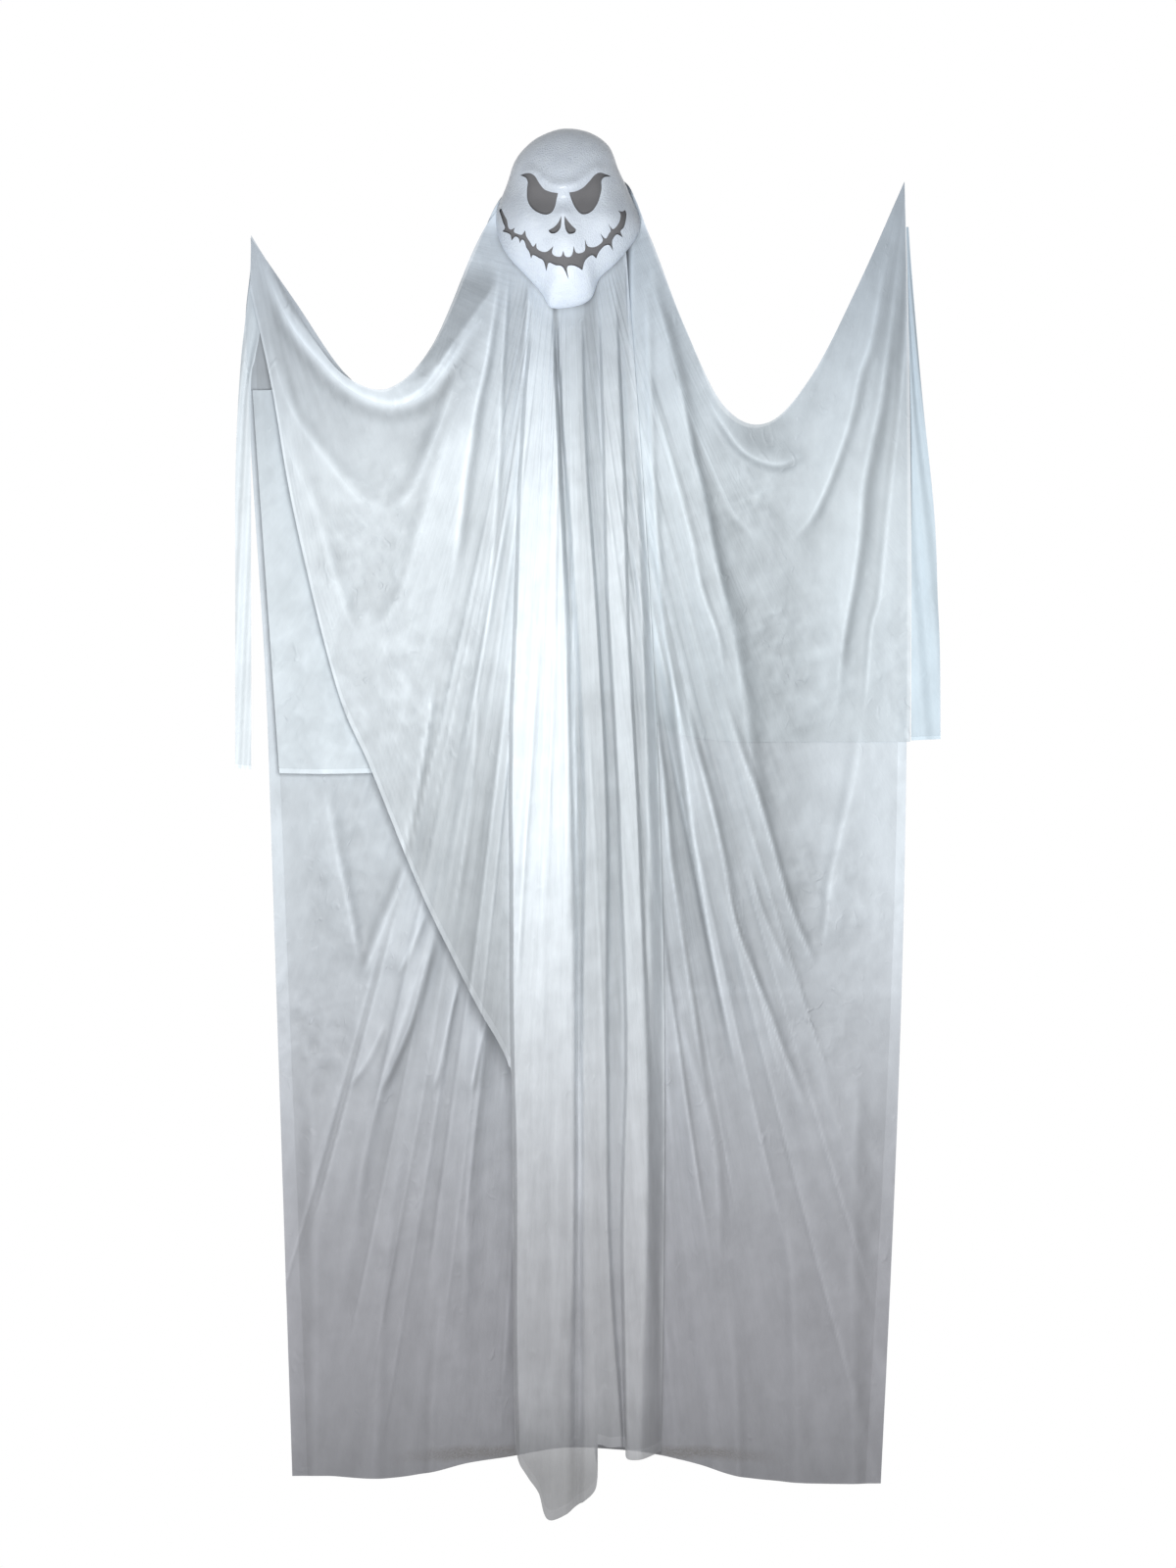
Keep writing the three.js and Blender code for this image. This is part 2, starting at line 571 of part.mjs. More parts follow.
// Places on the outlines: sideways as a share of an arm's reach, or round the head behind
// the mask, where the front layer's edge is glued to the rim
const left = (share, drop) => [-share * leftReach, drop];
const right = (share, drop) => [share * rightReach, drop];
const headEdgeRoom = 5;
const headEdge = (degrees) => {
  const turn = THREE.MathUtils.degToRad(degrees);
  return [
    headMiddleX + (coreHalfWidth + headEdgeRoom) * Math.cos(turn),
    coreMiddleDrop - (coreHalfHeight + headEdgeRoom) * Math.sin(turn),
  ];
};

// Front drape: from the left wrist along the swag to the head, round the chin, and down the
// middle in pleats to one hanging corner; its left hem runs diagonally up to the wrist
clothPiece("front_drape", 34, 16, [
  [left(1, leftTipDrop), left(1.004, leftTipDrop + 83)],
  [left(0.915, 230), left(0.932, 400)],
  [left(0.811, 315), left(0.861, 593)],
  [left(0.697, leftDipDrop - 16), left(0.73, 853)],
  [left(0.561, leftDipDrop + 2), left(0.62, 980)],
  [left(0.426, leftDipDrop - 61), left(0.468, 1160)],
  [left(0.293, 187), left(0.343, 1285)],
  [[headMiddleX - 1.06 * halfHead, 135], left(0.266, 1355)],
  [headEdge(160), left(0.218, 1394)],
  [headEdge(180), left(0.183, 1430)],
  [headEdge(205), left(0.17, 1480)],
  [headEdge(220), [-80, 1800]],
  [headEdge(234), [-78, cornerDrop - 161]],
  [headEdge(246), [-74, cornerDrop - 98]],
  [headEdge(257), [-58, cornerDrop - 67]],
  [headEdge(263), [-41, cornerDrop - 42]],
  [headEdge(270), [-23, cornerDrop]],
  [headEdge(286), [36, cornerDrop - 34]],
  [headEdge(300), [49, cornerDrop - 64]],
  [headEdge(308), [46, cornerDrop - 112]],
  [headEdge(320), [68, cornerDrop - 110]],
  [headEdge(329), [90, cornerDrop - 110]],
  [headEdge(338), [97, cornerDrop - 92]],
  [headEdge(350), [147, cornerDrop - 95]],
], frontDepth, (across, down) => 28 * smoothstep(across, 0.8, 1) * Math.sin(down * Math.PI));

// Arm cape: a short layer from wrist to wrist behind the front drape
clothPiece("arm_cape", 34, 11, [
  [left(0.996, 400), left(0.912, capeHemDrop + 48)],
  [left(0.925, 399), left(0.82, capeHemDrop + 49)],
  [left(0.7, 390), left(0.728, capeHemDrop + 49)],
  [left(0.561, leftDipDrop + 4), left(0.574, capeHemDrop + 47)],
  [left(0.42, leftDipDrop - 64), left(0.416, capeHemDrop + 42)],
  [left(0.293, 200), left(0.27, capeHemDrop - 8)],
  [left(0.191, 100), left(0.146, capeHemDrop - 58)],
  [[0, 84], [15, capeHemDrop - 76]],
  [right(0.162, 76), right(0.193, capeHemDrop - 72)],
  [right(0.25, 166), right(0.289, capeHemDrop - 22)],
  [right(0.347, 297), right(0.395, capeHemDrop - 6)],
  [right(0.468, rightDipDrop - 25), right(0.52, capeHemDrop)],
  [right(0.597, rightDipDrop), right(0.665, capeHemDrop)],
  [right(0.728, rightDipDrop - 73), right(0.809, capeHemDrop)],
  [right(0.867, 235), right(0.925, capeHemDrop)],
  [right(1, rightTipDrop + 3), right(1.019, capeHemDrop)],
], capeDepth, (across, down) => 4 * smoothstep(across, 0.9, 1) * Math.sin(down * Math.PI));

// Back sheet: the full-length layer
clothPiece("back_sheet", 32, 17, [
  [left(1.002, leftTipDrop + 3), left(0.873, backHemDrop)],
  [left(0.863, 262), left(0.759, backHemDrop)],
  [left(0.701, 374), left(0.665, backHemDrop + 4)],
  [left(0.574, leftDipDrop + 8), left(0.557, backHemDrop + 5)],
  [left(0.42, leftDipDrop - 60), left(0.426, backHemDrop - 4)],
  [left(0.293, 195), left(0.312, backHemDrop - 17)],
  [left(0.187, 95), left(0.187, backHemDrop - 26)],
  [[0, 76], [0, backHemDrop - 40]],
  [right(0.162, 68), right(0.183, backHemDrop - 36)],
  [right(0.27, 200), right(0.289, backHemDrop - 28)],
  [right(0.366, 320), right(0.395, backHemDrop - 15)],
  [right(0.468, rightDipDrop - 17), right(0.505, backHemDrop + 2)],
  [right(0.597, rightDipDrop + 3), right(0.617, backHemDrop + 9)],
  [right(0.728, rightDipDrop - 71), right(0.723, backHemDrop + 12)],
  [right(0.867, 235), right(0.829, backHemDrop + 12)],
  [right(1, rightTipDrop + 1), right(0.933, backHemDrop + 11)],
], backDepth, (across, down) => {
  const rightBow = 20 * smoothstep(across, 0.8, 1) * Math.sin(down * Math.PI);
  const leftBow = 12 * smoothstep(0.1 - across, 0, 0.1) * smoothstep(down, 0.01, 0.07);
  return rightBow - leftBow * (1 - smoothstep(down, 0.12, 0.4));
});

// Cuff strips that hang beside the ends of the cape, each between an outer and an inner edge
function cuffStrip(name, rows, outer, inner) {
  const outside = lineThrough(outer);
  const inside = lineThrough(inner);
  const leftward = outer[0][0] < 0;
  const strip = sheetSolid(2, rows, clothThickness, (across, down) => {
    const from = leftward ? outside : inside;
    const to = leftward ? inside : outside;
    const place = from.getPoint(down).lerp(to.getPoint(down), across);
    return [place.x, hangingDepth(place.x, place.y) - layerStep, place.y];
  });
  addPiece(name, strip, sheerWhite);
}
const leftSlit = -leftReach - cuffGap;
const leftOutside = leftSlit - cuffWidth;
cuffStrip("cuff_strip_left", 14, [
  left(1.001, 215), left(1.02, 297), left(1.033, 356), [leftOutside + 3, 450],
  [leftOutside, 560], [leftOutside, 760], [leftOutside, capeHemDrop + 40],
], [
  left(0.987, 215), left(0.971, 297), left(0.987, 350), [leftSlit, 392],
  [leftSlit, 560], [leftSlit, 760], [leftSlit, capeHemDrop + 42],
]);
const rightSlit = (drop) => {
  const down = (drop - rightTipDrop) / (capeHemDrop - rightTipDrop);
  return rightReach * (1 + 0.019 * down) + 4 * Math.sin(down * Math.PI) + cuffGap;
};
cuffStrip("cuff_strip_right", 14, [
  right(1.012, 150), right(1.022, 224), right(1.052, 407), right(1.088, 590),
  right(1.098, 719), right(1.104, 800), right(1.106, capeHemDrop - 4),
], [150, 224, 407, 590, 719, 800, capeHemDrop - 2].map((drop) => [rightSlit(drop), drop]));

// Wrist tabs and rings. A tape is folded round the straight side of a clear D-shaped ring, and
// its ends, folded under, are sewn flat behind the wrist. The ring hangs down below them, and
// turns back and up when a line pulls it.
const channelRadius = ringWire + runningGap + touchGap;
const channelOuter = channelRadius + tabWall;

function tapeTab() {
  const roll = (radius, length) => {
    const rod = new THREE.CylinderGeometry(radius, radius, length, 16);
    return rod.rotateZ(Math.PI / 2);
  };
  const tailLength = channelOuter + tabTail;
  const tail = new THREE.BoxGeometry(tabWidth, channelOuter, tailLength);
  tail.translate(0, -channelOuter / 2, tailLength / 2);
  const tape = solidOf(roll(channelOuter, tabWidth)).add(solidOf(tail));
  return geometryOf(tape.subtract(solidOf(roll(channelRadius, 2 * tabWidth))));
}

function wristRing() {
  const halfWidth = ringInnerWidth / 2 + ringWire;
  const foot = -ringInnerHeight - 2 * ringWire;
  const at = (x, z) => new THREE.Vector3(x, 0, z);
  const corner = 0.25 * halfWidth;
  const path = new THREE.CurvePath();
  path.add(new THREE.LineCurve3(at(corner - halfWidth, 0), at(halfWidth - corner, 0)));
  path.add(new THREE.QuadraticBezierCurve3(
    at(halfWidth - corner, 0), at(halfWidth, 0), at(halfWidth, -corner)));
  path.add(new THREE.CubicBezierCurve3(
    at(halfWidth, -corner), at(halfWidth, 0.7 * foot), at(0.55 * halfWidth, foot), at(0, foot)));
  path.add(new THREE.CubicBezierCurve3(
    at(0, foot), at(-0.55 * halfWidth, foot), at(-halfWidth, 0.7 * foot), at(-halfWidth, -corner)));
  path.add(new THREE.QuadraticBezierCurve3(
    at(-halfWidth, -corner), at(-halfWidth, 0), at(corner - halfWidth, 0)));
  return new THREE.TubeGeometry(path, 28, ringWire, 6, true);
}

// A tab and its ring, a little inward of the pointed tip and behind the cloth
function wristFitting(side, x, tipDrop) {
  const wrist = new THREE.Group();
  const depth = tipDepth + clothThickness + seamGap + channelOuter;
  wrist.position.set(x, depth, -(tipDrop + ringDropBelowTip));
  ghost.add(wrist);
  addPiece(`wrist_tab_${side}`, tapeTab(), whiteTape, wrist);
  addPiece(`wrist_ring_${side}`, wristRing(), clearPlastic, wrist);
}
wristFitting("left", -leftReach + 14, leftTipDrop);
wristFitting("right", rightReach - 9, rightTipDrop);
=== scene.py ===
import math

import bmesh
import bpy
import numpy as np
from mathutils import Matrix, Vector


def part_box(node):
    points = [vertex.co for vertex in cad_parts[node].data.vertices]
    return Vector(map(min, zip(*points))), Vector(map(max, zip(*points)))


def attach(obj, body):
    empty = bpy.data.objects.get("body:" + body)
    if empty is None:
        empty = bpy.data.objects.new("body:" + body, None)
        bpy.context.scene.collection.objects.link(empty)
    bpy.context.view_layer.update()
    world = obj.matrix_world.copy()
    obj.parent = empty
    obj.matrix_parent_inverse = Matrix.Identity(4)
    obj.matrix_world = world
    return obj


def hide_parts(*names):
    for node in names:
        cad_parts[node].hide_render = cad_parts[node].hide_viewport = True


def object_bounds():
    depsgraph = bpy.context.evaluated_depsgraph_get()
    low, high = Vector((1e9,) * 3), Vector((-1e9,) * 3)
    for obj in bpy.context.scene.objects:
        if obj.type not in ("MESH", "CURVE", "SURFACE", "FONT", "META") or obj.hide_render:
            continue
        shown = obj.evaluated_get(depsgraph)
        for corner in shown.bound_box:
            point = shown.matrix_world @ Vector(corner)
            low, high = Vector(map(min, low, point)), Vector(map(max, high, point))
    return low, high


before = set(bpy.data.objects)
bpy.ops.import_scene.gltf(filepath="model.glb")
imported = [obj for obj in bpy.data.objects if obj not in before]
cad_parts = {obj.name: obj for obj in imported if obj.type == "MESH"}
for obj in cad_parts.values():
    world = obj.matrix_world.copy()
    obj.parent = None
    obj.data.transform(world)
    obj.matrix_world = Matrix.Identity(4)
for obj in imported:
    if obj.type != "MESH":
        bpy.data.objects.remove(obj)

cad_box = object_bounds()

# Camera
# It looks level and square at the front of the ghost, from far off through a long lens.
# The view is 2.4 m high, and its middle lies a little right of the hanging point.
view_height = 2.4
view_distance = 8.0
view_middle = Vector((0.0295, -0.03, -0.9966))
camera_data = bpy.data.cameras.new("camera")
camera_data.lens = camera_data.sensor_width * view_distance / view_height
camera_data.clip_end = 50
camera = bpy.data.objects.new("camera", camera_data)
camera.location = view_middle + Vector((0, -view_distance, 0))
camera.rotation_euler = (math.pi / 2, 0, 0)
bpy.context.scene.collection.objects.link(camera)
bpy.context.scene.camera = camera

# Mask
# One shell of white plastic, 1.6 mm thick, drawn over a mould: a high dome, a wet-looking
# brow, wide cheeks and a narrow jaw. Eyes, nostrils and a thorny grin are cut right through.
MM = 0.001
head_aside = 5
mask_low, mask_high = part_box("face_mask")
half_head = 110
head_height = 276
mask_depth = 72
mask_wall = 1.6
face_middle_drop = 0.48 * head_height


def placed(x, depth, drop):
    """Metres in the frame, from millimetres across, behind the mask's rim and below its top."""
    across = (np.asarray(x, float) - head_aside) * MM
    back = mask_high.y + np.asarray(depth, float) * MM
    up = mask_high.z - np.asarray(drop, float) * MM
    return np.stack(np.broadcast_arrays(across, back, up), axis=-1)


def smooth_line(points, closed=False):
    """A curve through the points, as a function of the share of the way along it."""
    given = np.array(points, float)
    if closed:
        corners = np.vstack([given[-1], given, given[:2]])
    else:
        corners = np.vstack([2 * given[0] - given[1], given, 2 * given[-1] - given[-2]])
    spans = len(corners) - 3

    def at(share):
        place = np.clip(np.asarray(share, float), 0, 1) * spans
        start = np.minimum(place.astype(int), spans - 1)
        t = (place - start)[..., None]
        before, here, there, after = (corners[start + i] for i in range(4))
        leaving, reaching = (there - before) / 2, (after - here) / 2
        bend = 2 * here - 2 * there + leaving + reaching
        swing = 3 * there - 3 * here - 2 * leaving - reaching
        return bend * t**3 + swing * t**2 + leaving * t + here

    return at


def ease(value, start, end):
    """0 before start, 1 after end, and a smooth rise between them."""
    t = np.clip((np.asarray(value, float) - start) / (end - start), 0, 1)
    return t * t * (3 - 2 * t)


def mixed(a, b, share):
    """A value between two others, at a share of the way from the first to the second."""
    return a + (b - a) * share


mask_outline = [
    (-0.02, 0), (0.3, 0.024), (0.56, 0.1), (0.7, 0.235), (0.87, 0.38), (0.99, 0.515),
    (0.93, 0.61), (0.66, 0.745), (0.43, 0.83), (0.33, 0.93), (0.2, 0.972), (-0.03, 0.993),
    (-0.25, 0.99), (-0.39, 0.905), (-0.62, 0.805), (-0.86, 0.7), (-0.99, 0.58), (-1, 0.46),
    (-0.86, 0.31), (-0.74, 0.175), (-0.53, 0.078), (-0.28, 0.022),
]
around_rim = smooth_line(mask_outline, closed=True)(np.linspace(0, 1, 721)[:-1])
rim_side = around_rim[:, 0] * half_head
rim_up = face_middle_drop - around_rim[:, 1] * head_height
rim_turns = np.arctan2(rim_up, rim_side)
rim_order = np.argsort(rim_turns)


def rim_radius(turn):
    """Distance from the middle of the face to the rim, in millimetres."""
    lengths = np.hypot(rim_side, rim_up)[rim_order]
    return np.interp(turn, rim_turns[rim_order], lengths, period=2 * math.pi)


def even_radius(turn):
    """The same, evened out, so that the jaw's corners make no creases across the face."""
    spread = np.linspace(-0.45, 0.45, 15)
    weights = np.exp(-(spread / 0.22) ** 2)
    near = sum(w * rim_radius(turn + s) for w, s in zip(weights, spread))
    return near / weights.sum()


# Brow, sockets, nose, cheeks, lips and chin: x, drop, height and radius of each swelling
face_swells = [
    (-54, 70, 4, 9), (-44, 76, 4, 10), (-35, 86, 5, 10), (-24, 95, 6, 11), (-12, 98, 5, 11),
    (-2, 97, 4, 12), (9, 97, 5, 11), (20, 93, 6, 11), (31, 84, 5, 10), (41, 74, 4, 10),
    (51, 67, 4, 9), (-4, 74, 6, 26), (-36, 114, -8, 23), (32, 113, -8, 23), (-3, 138, 7, 12),
    (-68, 148, 7, 24), (70, 148, 7, 24), (-4, 184, 7, 26), (2, 236, 9, 24),
    (-60, 212, -6, 20), (66, 208, -6, 20), (-80, 98, -4, 18), (82, 98, -4, 18),
]


def mask_stand(x, drop, inset):
    """How far the skin stands in front of the rim, drawn in by inset."""
    side = x - head_aside
    up = face_middle_drop - drop
    turn, far = np.arctan2(up, side), np.hypot(side, up)
    at_rim = np.minimum(far / (rim_radius(turn) - inset), 1)
    even = np.minimum(far / (even_radius(turn) - inset), 1)
    away = mixed(even, at_rim, ease(at_rim, 0.45, 1))
    dome = (mask_depth - inset) * (1 - away**2.4) ** 0.6
    swell = sum(
        height * np.exp(-((x - mid_x) ** 2 + (drop - mid_drop) ** 2) / radius**2)
        for mid_x, mid_drop, height, radius in face_swells
    )
    return dome + swell * (1 - away**6)


def face_skin(turn, share, inset):
    """A point of the skin, at a share of the way from the middle of the face to the rim."""
    reach = np.sin(share * math.pi / 2) * (rim_radius(turn) - inset)
    x = head_aside + reach * np.cos(turn)
    drop = face_middle_drop - reach * np.sin(turn)
    return placed(x, -mask_stand(x, drop, inset), drop)


def round_sheet(cells):
    """A square grid pressed into a disc, with each vertex's turn and share of the radius."""
    bm = bmesh.new()
    bmesh.ops.create_grid(bm, x_segments=cells, y_segments=cells, size=1)
    flat = np.array([v.co for v in bm.verts])
    side = flat[:, 0] * np.sqrt(1 - flat[:, 1] ** 2 / 2)
    up = flat[:, 1] * np.sqrt(1 - flat[:, 0] ** 2 / 2)
    return bm, np.arctan2(up, side), np.minimum(np.hypot(side, up), 1)


def move_to(bm, places):
    """Moves the vertices of a mesh to their places."""
    for vertex, place in zip(bm.verts, places):
        vertex.co = place
    bmesh.ops.recalc_face_normals(bm, faces=bm.faces)


def face_forward(bm):
    """Turns an open sheet so that its faces look to the front."""
    if sum(face.normal.y * face.calc_area() for face in bm.faces) > 0:
        bmesh.ops.reverse_faces(bm, faces=bm.faces)


def piece(name, bm, material, body="ghost", stands_for=()):
    """A finished piece: smooth, painted, and riding on its body."""
    mesh = bpy.data.meshes.new(name)
    bm.to_mesh(mesh)
    bm.free()
    mesh.materials.append(material)
    mesh.shade_smooth()
    made = bpy.data.objects.new(name, mesh)
    bpy.context.scene.collection.objects.link(made)
    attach(made, body)
    if stands_for:
        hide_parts(*stands_for)
    return made


def apply_modifiers(made):
    """Replaces the mesh by what its modifiers make of it."""
    graph = bpy.context.evaluated_depsgraph_get()
    graph.update()
    shaped = bpy.data.meshes.new_from_object(made.evaluated_get(graph))
    made.modifiers.clear()
    made.data = shaped


def paint(name, colour, roughness, **sockets):
    """A material with one Principled shader, and its node tree to add to."""
    material = bpy.data.materials.new(name)
    material.use_nodes = True
    shader = material.node_tree.nodes["Principled BSDF"]
    shader.inputs["Base Color"].default_value = (*colour, 1)
    shader.inputs["Roughness"].default_value = roughness
    for socket, value in sockets.items():
        shader.inputs[socket.replace("_", " ")].default_value = value
    return material, material.node_tree, shader


def node(tree, kind, links=(), **settings):
    """A shader node with its inputs linked, or set to plain values."""
    made = tree.nodes.new("ShaderNode" + kind)
    for key, value in settings.items():
        setattr(made, key, value)
    for socket, source in dict(links).items():
        if isinstance(source, bpy.types.NodeSocket):
            tree.links.new(source, made.inputs[socket])
        else:
            made.inputs[socket].default_value = source
    return made


def pattern_place(tree, scale):
    """Object coordinates, stretched by a scale for each axis."""
    where = node(tree, "TexCoord")
    return node(tree, "Mapping", {"Vector": where.outputs["Object"], "Scale": scale}).outputs[0]


def noise(tree, scale, detail, **sockets):
    """Soft random patches between 0 and 1."""
    links = {"Vector": pattern_place(tree, scale), "Detail": detail, **sockets}
    return node(tree, "TexNoise", links).outputs["Fac"]


def blend(tree, share, first, second):
    """A colour between two others."""
    links = {"Fac": share, "Color1": first, "Color2": second}
    return node(tree, "MixRGB", links).outputs["Color"]


def times(tree, colour, value):
    """A colour made lighter or darker by a value or by another colour."""
    return node(tree, "MixRGB", {"Fac": 1, "Color1": colour, "Color2": value},
                blend_type="MULTIPLY").outputs["Color"]


def ramp(tree, value, start, end, low, high, soft=False):
    """A value carried from one range to another."""
    kind = {"interpolation_type": "SMOOTHSTEP"} if soft else {}
    return node(tree, "MapRange", {
        "Value": value, "From Min": start, "From Max": end, "To Min": low, "To Max": high,
    }, **kind).outputs[0]


def bump(tree, shader, height, strength, distance, under=None):
    """A fine relief that the light sees, on top of another one if it is given."""
    made = node(tree, "Bump", {"Height": height, "Strength": strength, "Distance": distance})
    if under is not None:
        tree.links.new(under, made.inputs["Normal"])
    tree.links.new(made.outputs["Normal"], shader.inputs["Normal"])
    return made.outputs["Normal"]


# The plastic has a soft mottle from the mould, and fine ripples that break up its highlights
mask_white, tree, shader = paint("mask_white", (0.70, 0.75, 0.84), 0.3, Coat_Weight=0.35)
tint = blend(tree, noise(tree, (14, 14, 14), 4), (0.65, 0.72, 0.83, 1), (0.775, 0.85, 0.93, 1))
where = node(tree, "TexCoord").outputs["Object"]
height = node(tree, "SeparateXYZ", {"Vector": where}).outputs["Z"]
# The jaw and the dome catch more light
tint = times(tree, tint, ramp(tree, height, -0.15, -0.22, 1, 1.25))
tint = times(tree, tint, ramp(tree, height, -0.1, -0.05, 1, 1.12))
tree.links.new(tint, shader.inputs["Base Color"])
# Only the brow shines as if wet; the rest is satin
brow = ramp(tree, height, -0.125, -0.1, 0, 1)
tree.links.new(ramp(tree, brow, 0, 1, 0.5, 0.1), shader.inputs["Coat Roughness"])
tree.links.new(ramp(tree, brow, 0, 1, 0.55, 0.36), shader.inputs["Roughness"])
rippled = bump(tree, shader, noise(tree, (90, 90, 90), 3), 0.6, 0.003)
bump(tree, shader, noise(tree, (420, 420, 420), 2), 0.2, 0.0006, rippled)

left_eye = [
    (-69, 76), (-69, 76), (-61, 74), (-53, 75), (-46, 80), (-40, 90), (-32, 100), (-21, 105),
    (-11, 107), (-11, 107), (-13, 115), (-16, 128), (-21, 136), (-29, 139), (-38, 137),
    (-48, 131), (-55, 122), (-58, 111), (-58, 97), (-57, 88), (-60, 81),
]
right_eye = [
    (6, 106), (6, 106), (16, 104), (27, 98), (36, 89), (44, 79), (52, 74), (61, 75), (70, 78),
    (70, 78), (60, 80), (55, 86), (55, 98), (53, 109), (49, 121), (42, 132), (33, 138),
    (24, 138), (16, 130), (10, 118),
]
left_nostril = [
    (-6, 142), (-6, 142), (-6, 152), (-8, 161), (-14, 167), (-21, 168), (-25, 163), (-18, 159),
    (-11, 152),
]
right_nostril = [
    (-1, 142), (-1, 142), (4, 149), (11, 157), (16, 162), (14, 167), (6, 169), (1, 163),
    (-1, 152),
]
# The grin runs along its upper edge from left to right, and back along its lower edge. Each
# thorn ends in a point given twice.
grin_points = [
    (-98, 125), (-94, 134), (-89, 144), (-87, 155), (-83, 159), (-77, 157), (-77, 157),
    (-78, 163), (-73, 166), (-66, 168), (-61, 162), (-61, 162), (-59, 171), (-53, 180),
    (-49, 186), (-44, 181), (-44, 181), (-43, 189), (-35, 194), (-27, 194), (-18, 187),
    (-18, 187), (-20, 197), (-14, 202), (-6, 202), (-3, 194), (-3, 194), (0, 202), (7, 203),
    (11, 198), (13, 187), (13, 187), (16, 196), (23, 197), (30, 192), (30, 176), (30, 176),
    (34, 186), (44, 187), (53, 182), (57, 176), (53, 167), (53, 167), (61, 174), (66, 167),
    (69, 162), (65, 152), (65, 152), (72, 160), (79, 154), (83, 146), (84, 137), (80, 131),
    (80, 131), (86, 132), (91, 129), (91, 129), (93, 135), (92, 145), (89, 156), (84, 162),
    (88, 171), (88, 171), (79, 167), (73, 173), (71, 180), (73, 191), (73, 191), (67, 183),
    (59, 185), (51, 194), (47, 203), (47, 203), (40, 199), (30, 208), (26, 222), (26, 222),
    (14, 216), (3, 218), (5, 236), (5, 236), (-4, 218), (-15, 215), (-25, 211), (-29, 223),
    (-29, 223), (-33, 208), (-40, 203), (-49, 198), (-52, 203), (-52, 203), (-55, 193),
    (-59, 187), (-62, 178), (-66, 175), (-69, 180), (-69, 180), (-71, 173), (-76, 170),
    (-82, 175), (-82, 175), (-83, 168), (-87, 164), (-96, 160), (-96, 160), (-92, 155),
    (-95, 147), (-98, 137), (-101, 127),
]
# The middle of the grin, for the gauze behind it
grin_line = [
    (-100, 127), (-96, 142), (-87, 160), (-68, 172), (-53, 190), (-34, 203), (-2, 212), (20, 206),
    (46, 191), (66, 176), (82, 161), (89, 143), (88, 128),
]


def drawn(points, steps=6):
    """A closed outline through the points, with a sharp corner at each one given twice."""
    corners = [point for i, point in enumerate(points) if point == points[i - 1]]
    loop = list(dict.fromkeys(points))
    first = loop.index(corners[0])
    loop = loop[first:] + loop[:first + 1]
    ends = [i for i, point in enumerate(loop) if point in corners]
    runs = [loop[start:end + 1] for start, end in zip(ends, ends[1:])]
    return np.vstack([smooth_line(run)(np.linspace(0, 1, steps * len(run))[:-1])
                      for run in runs])


def cutter(outline):
    """A block whose section is the outline, right through the mask from front to back."""
    bm = bmesh.new()
    front = [bm.verts.new(p) for p in placed(outline[:, 0], -2 * mask_depth, outline[:, 1])]
    face = bm.faces.new(front)
    through = bmesh.ops.extrude_face_region(bm, geom=[face])["geom"]
    moved = [g for g in through if isinstance(g, bmesh.types.BMVert)]
    bmesh.ops.translate(bm, verts=moved, vec=(0, 2.2 * mask_depth * MM, 0))
    bmesh.ops.recalc_face_normals(bm, faces=bm.faces)
    mesh = bpy.data.meshes.new("cutter")
    bm.to_mesh(mesh)
    bm.free()
    made = bpy.data.objects.new("cutter", mesh)
    bpy.context.scene.collection.objects.link(made)
    return made


bm, turns, shares = round_sheet(150)
move_to(bm, face_skin(turns, shares, 0))
face_forward(bm)
bmesh.ops.solidify(bm, geom=bm.faces, thickness=mask_wall * MM)
bmesh.ops.recalc_face_normals(bm, faces=bm.faces)
mask = piece("mask", bm, mask_white, stands_for=["face_mask"])
outlines = [drawn(points) for points in (left_eye, right_eye, left_nostril, right_nostril)]
cutters = [cutter(outline) for outline in [*outlines, drawn(grin_points, steps=3)]]
for one in cutters:
    cut = mask.modifiers.new("cut_out", "BOOLEAN")
    cut.operation = "DIFFERENCE"
    cut.solver = "EXACT"
    cut.object = one
apply_modifiers(mask)
for one in cutters:
    bpy.data.objects.remove(one)
mask.data.shade_smooth()
mask.data.set_sharp_from_angle(angle=math.radians(40))

# Gauze behind the cut-outs
# Dark grey gauze, glued to the inside of the mask behind each eye, behind the nostrils and
# behind the grin, so that the head is hidden.
gauze_gap = 2
gauze_margin = 6
gauze_half = 0.4
nose_set_back = 1.8
mouth_set_back = 0.8
gauze_grey, tree, shader = paint("gauze_grey", (0.16, 0.165, 0.18), 0.9)
where = node(tree, "TexCoord").outputs["Object"]
threads = []
for turned in (0, math.pi / 2):
    spun = node(tree, "Mapping", {"Vector": where, "Rotation": (0, turned + 0.4, 0)})
    threads.append(node(tree, "TexWave", {
        "Vector": spun.outputs[0], "Scale": 260, "Distortion": 0.6, "Detail": 1,
    }))
weave = node(tree, "MixRGB", {
    "Fac": 1, "Color1": threads[0].outputs["Fac"], "Color2": threads[1].outputs["Fac"],
}, blend_type="LIGHTEN")
shade = blend(tree, weave.outputs["Color"], (0.07, 0.07, 0.075, 1), (0.24, 0.24, 0.25, 1))
tree.links.new(shade, shader.inputs["Base Color"])
bump(tree, shader, weave.outputs["Color"], 0.5, 0.0004)


def gauze(name, outline, gap):
    """A rounded patch of gauze that covers an outline and follows the inner skin."""
    low, high = outline.min(axis=0) - gauze_margin, outline.max(axis=0) + gauze_margin
    middle, half = (low + high) / 2, (high - low) / 2
    bm, turn, share = round_sheet(40)
    square = share / (np.cos(turn) ** 4 + np.sin(turn) ** 4) ** 0.25
    x = middle[0] + square * half[0] * np.cos(turn)
    drop = middle[1] - square * half[1] * np.sin(turn)
    move_to(bm, placed(x, gap + gauze_half - mask_stand(x, drop, mask_wall), drop))
    face_forward(bm)
    return piece(name + "_weave", bm, gauze_grey, stands_for=[name])


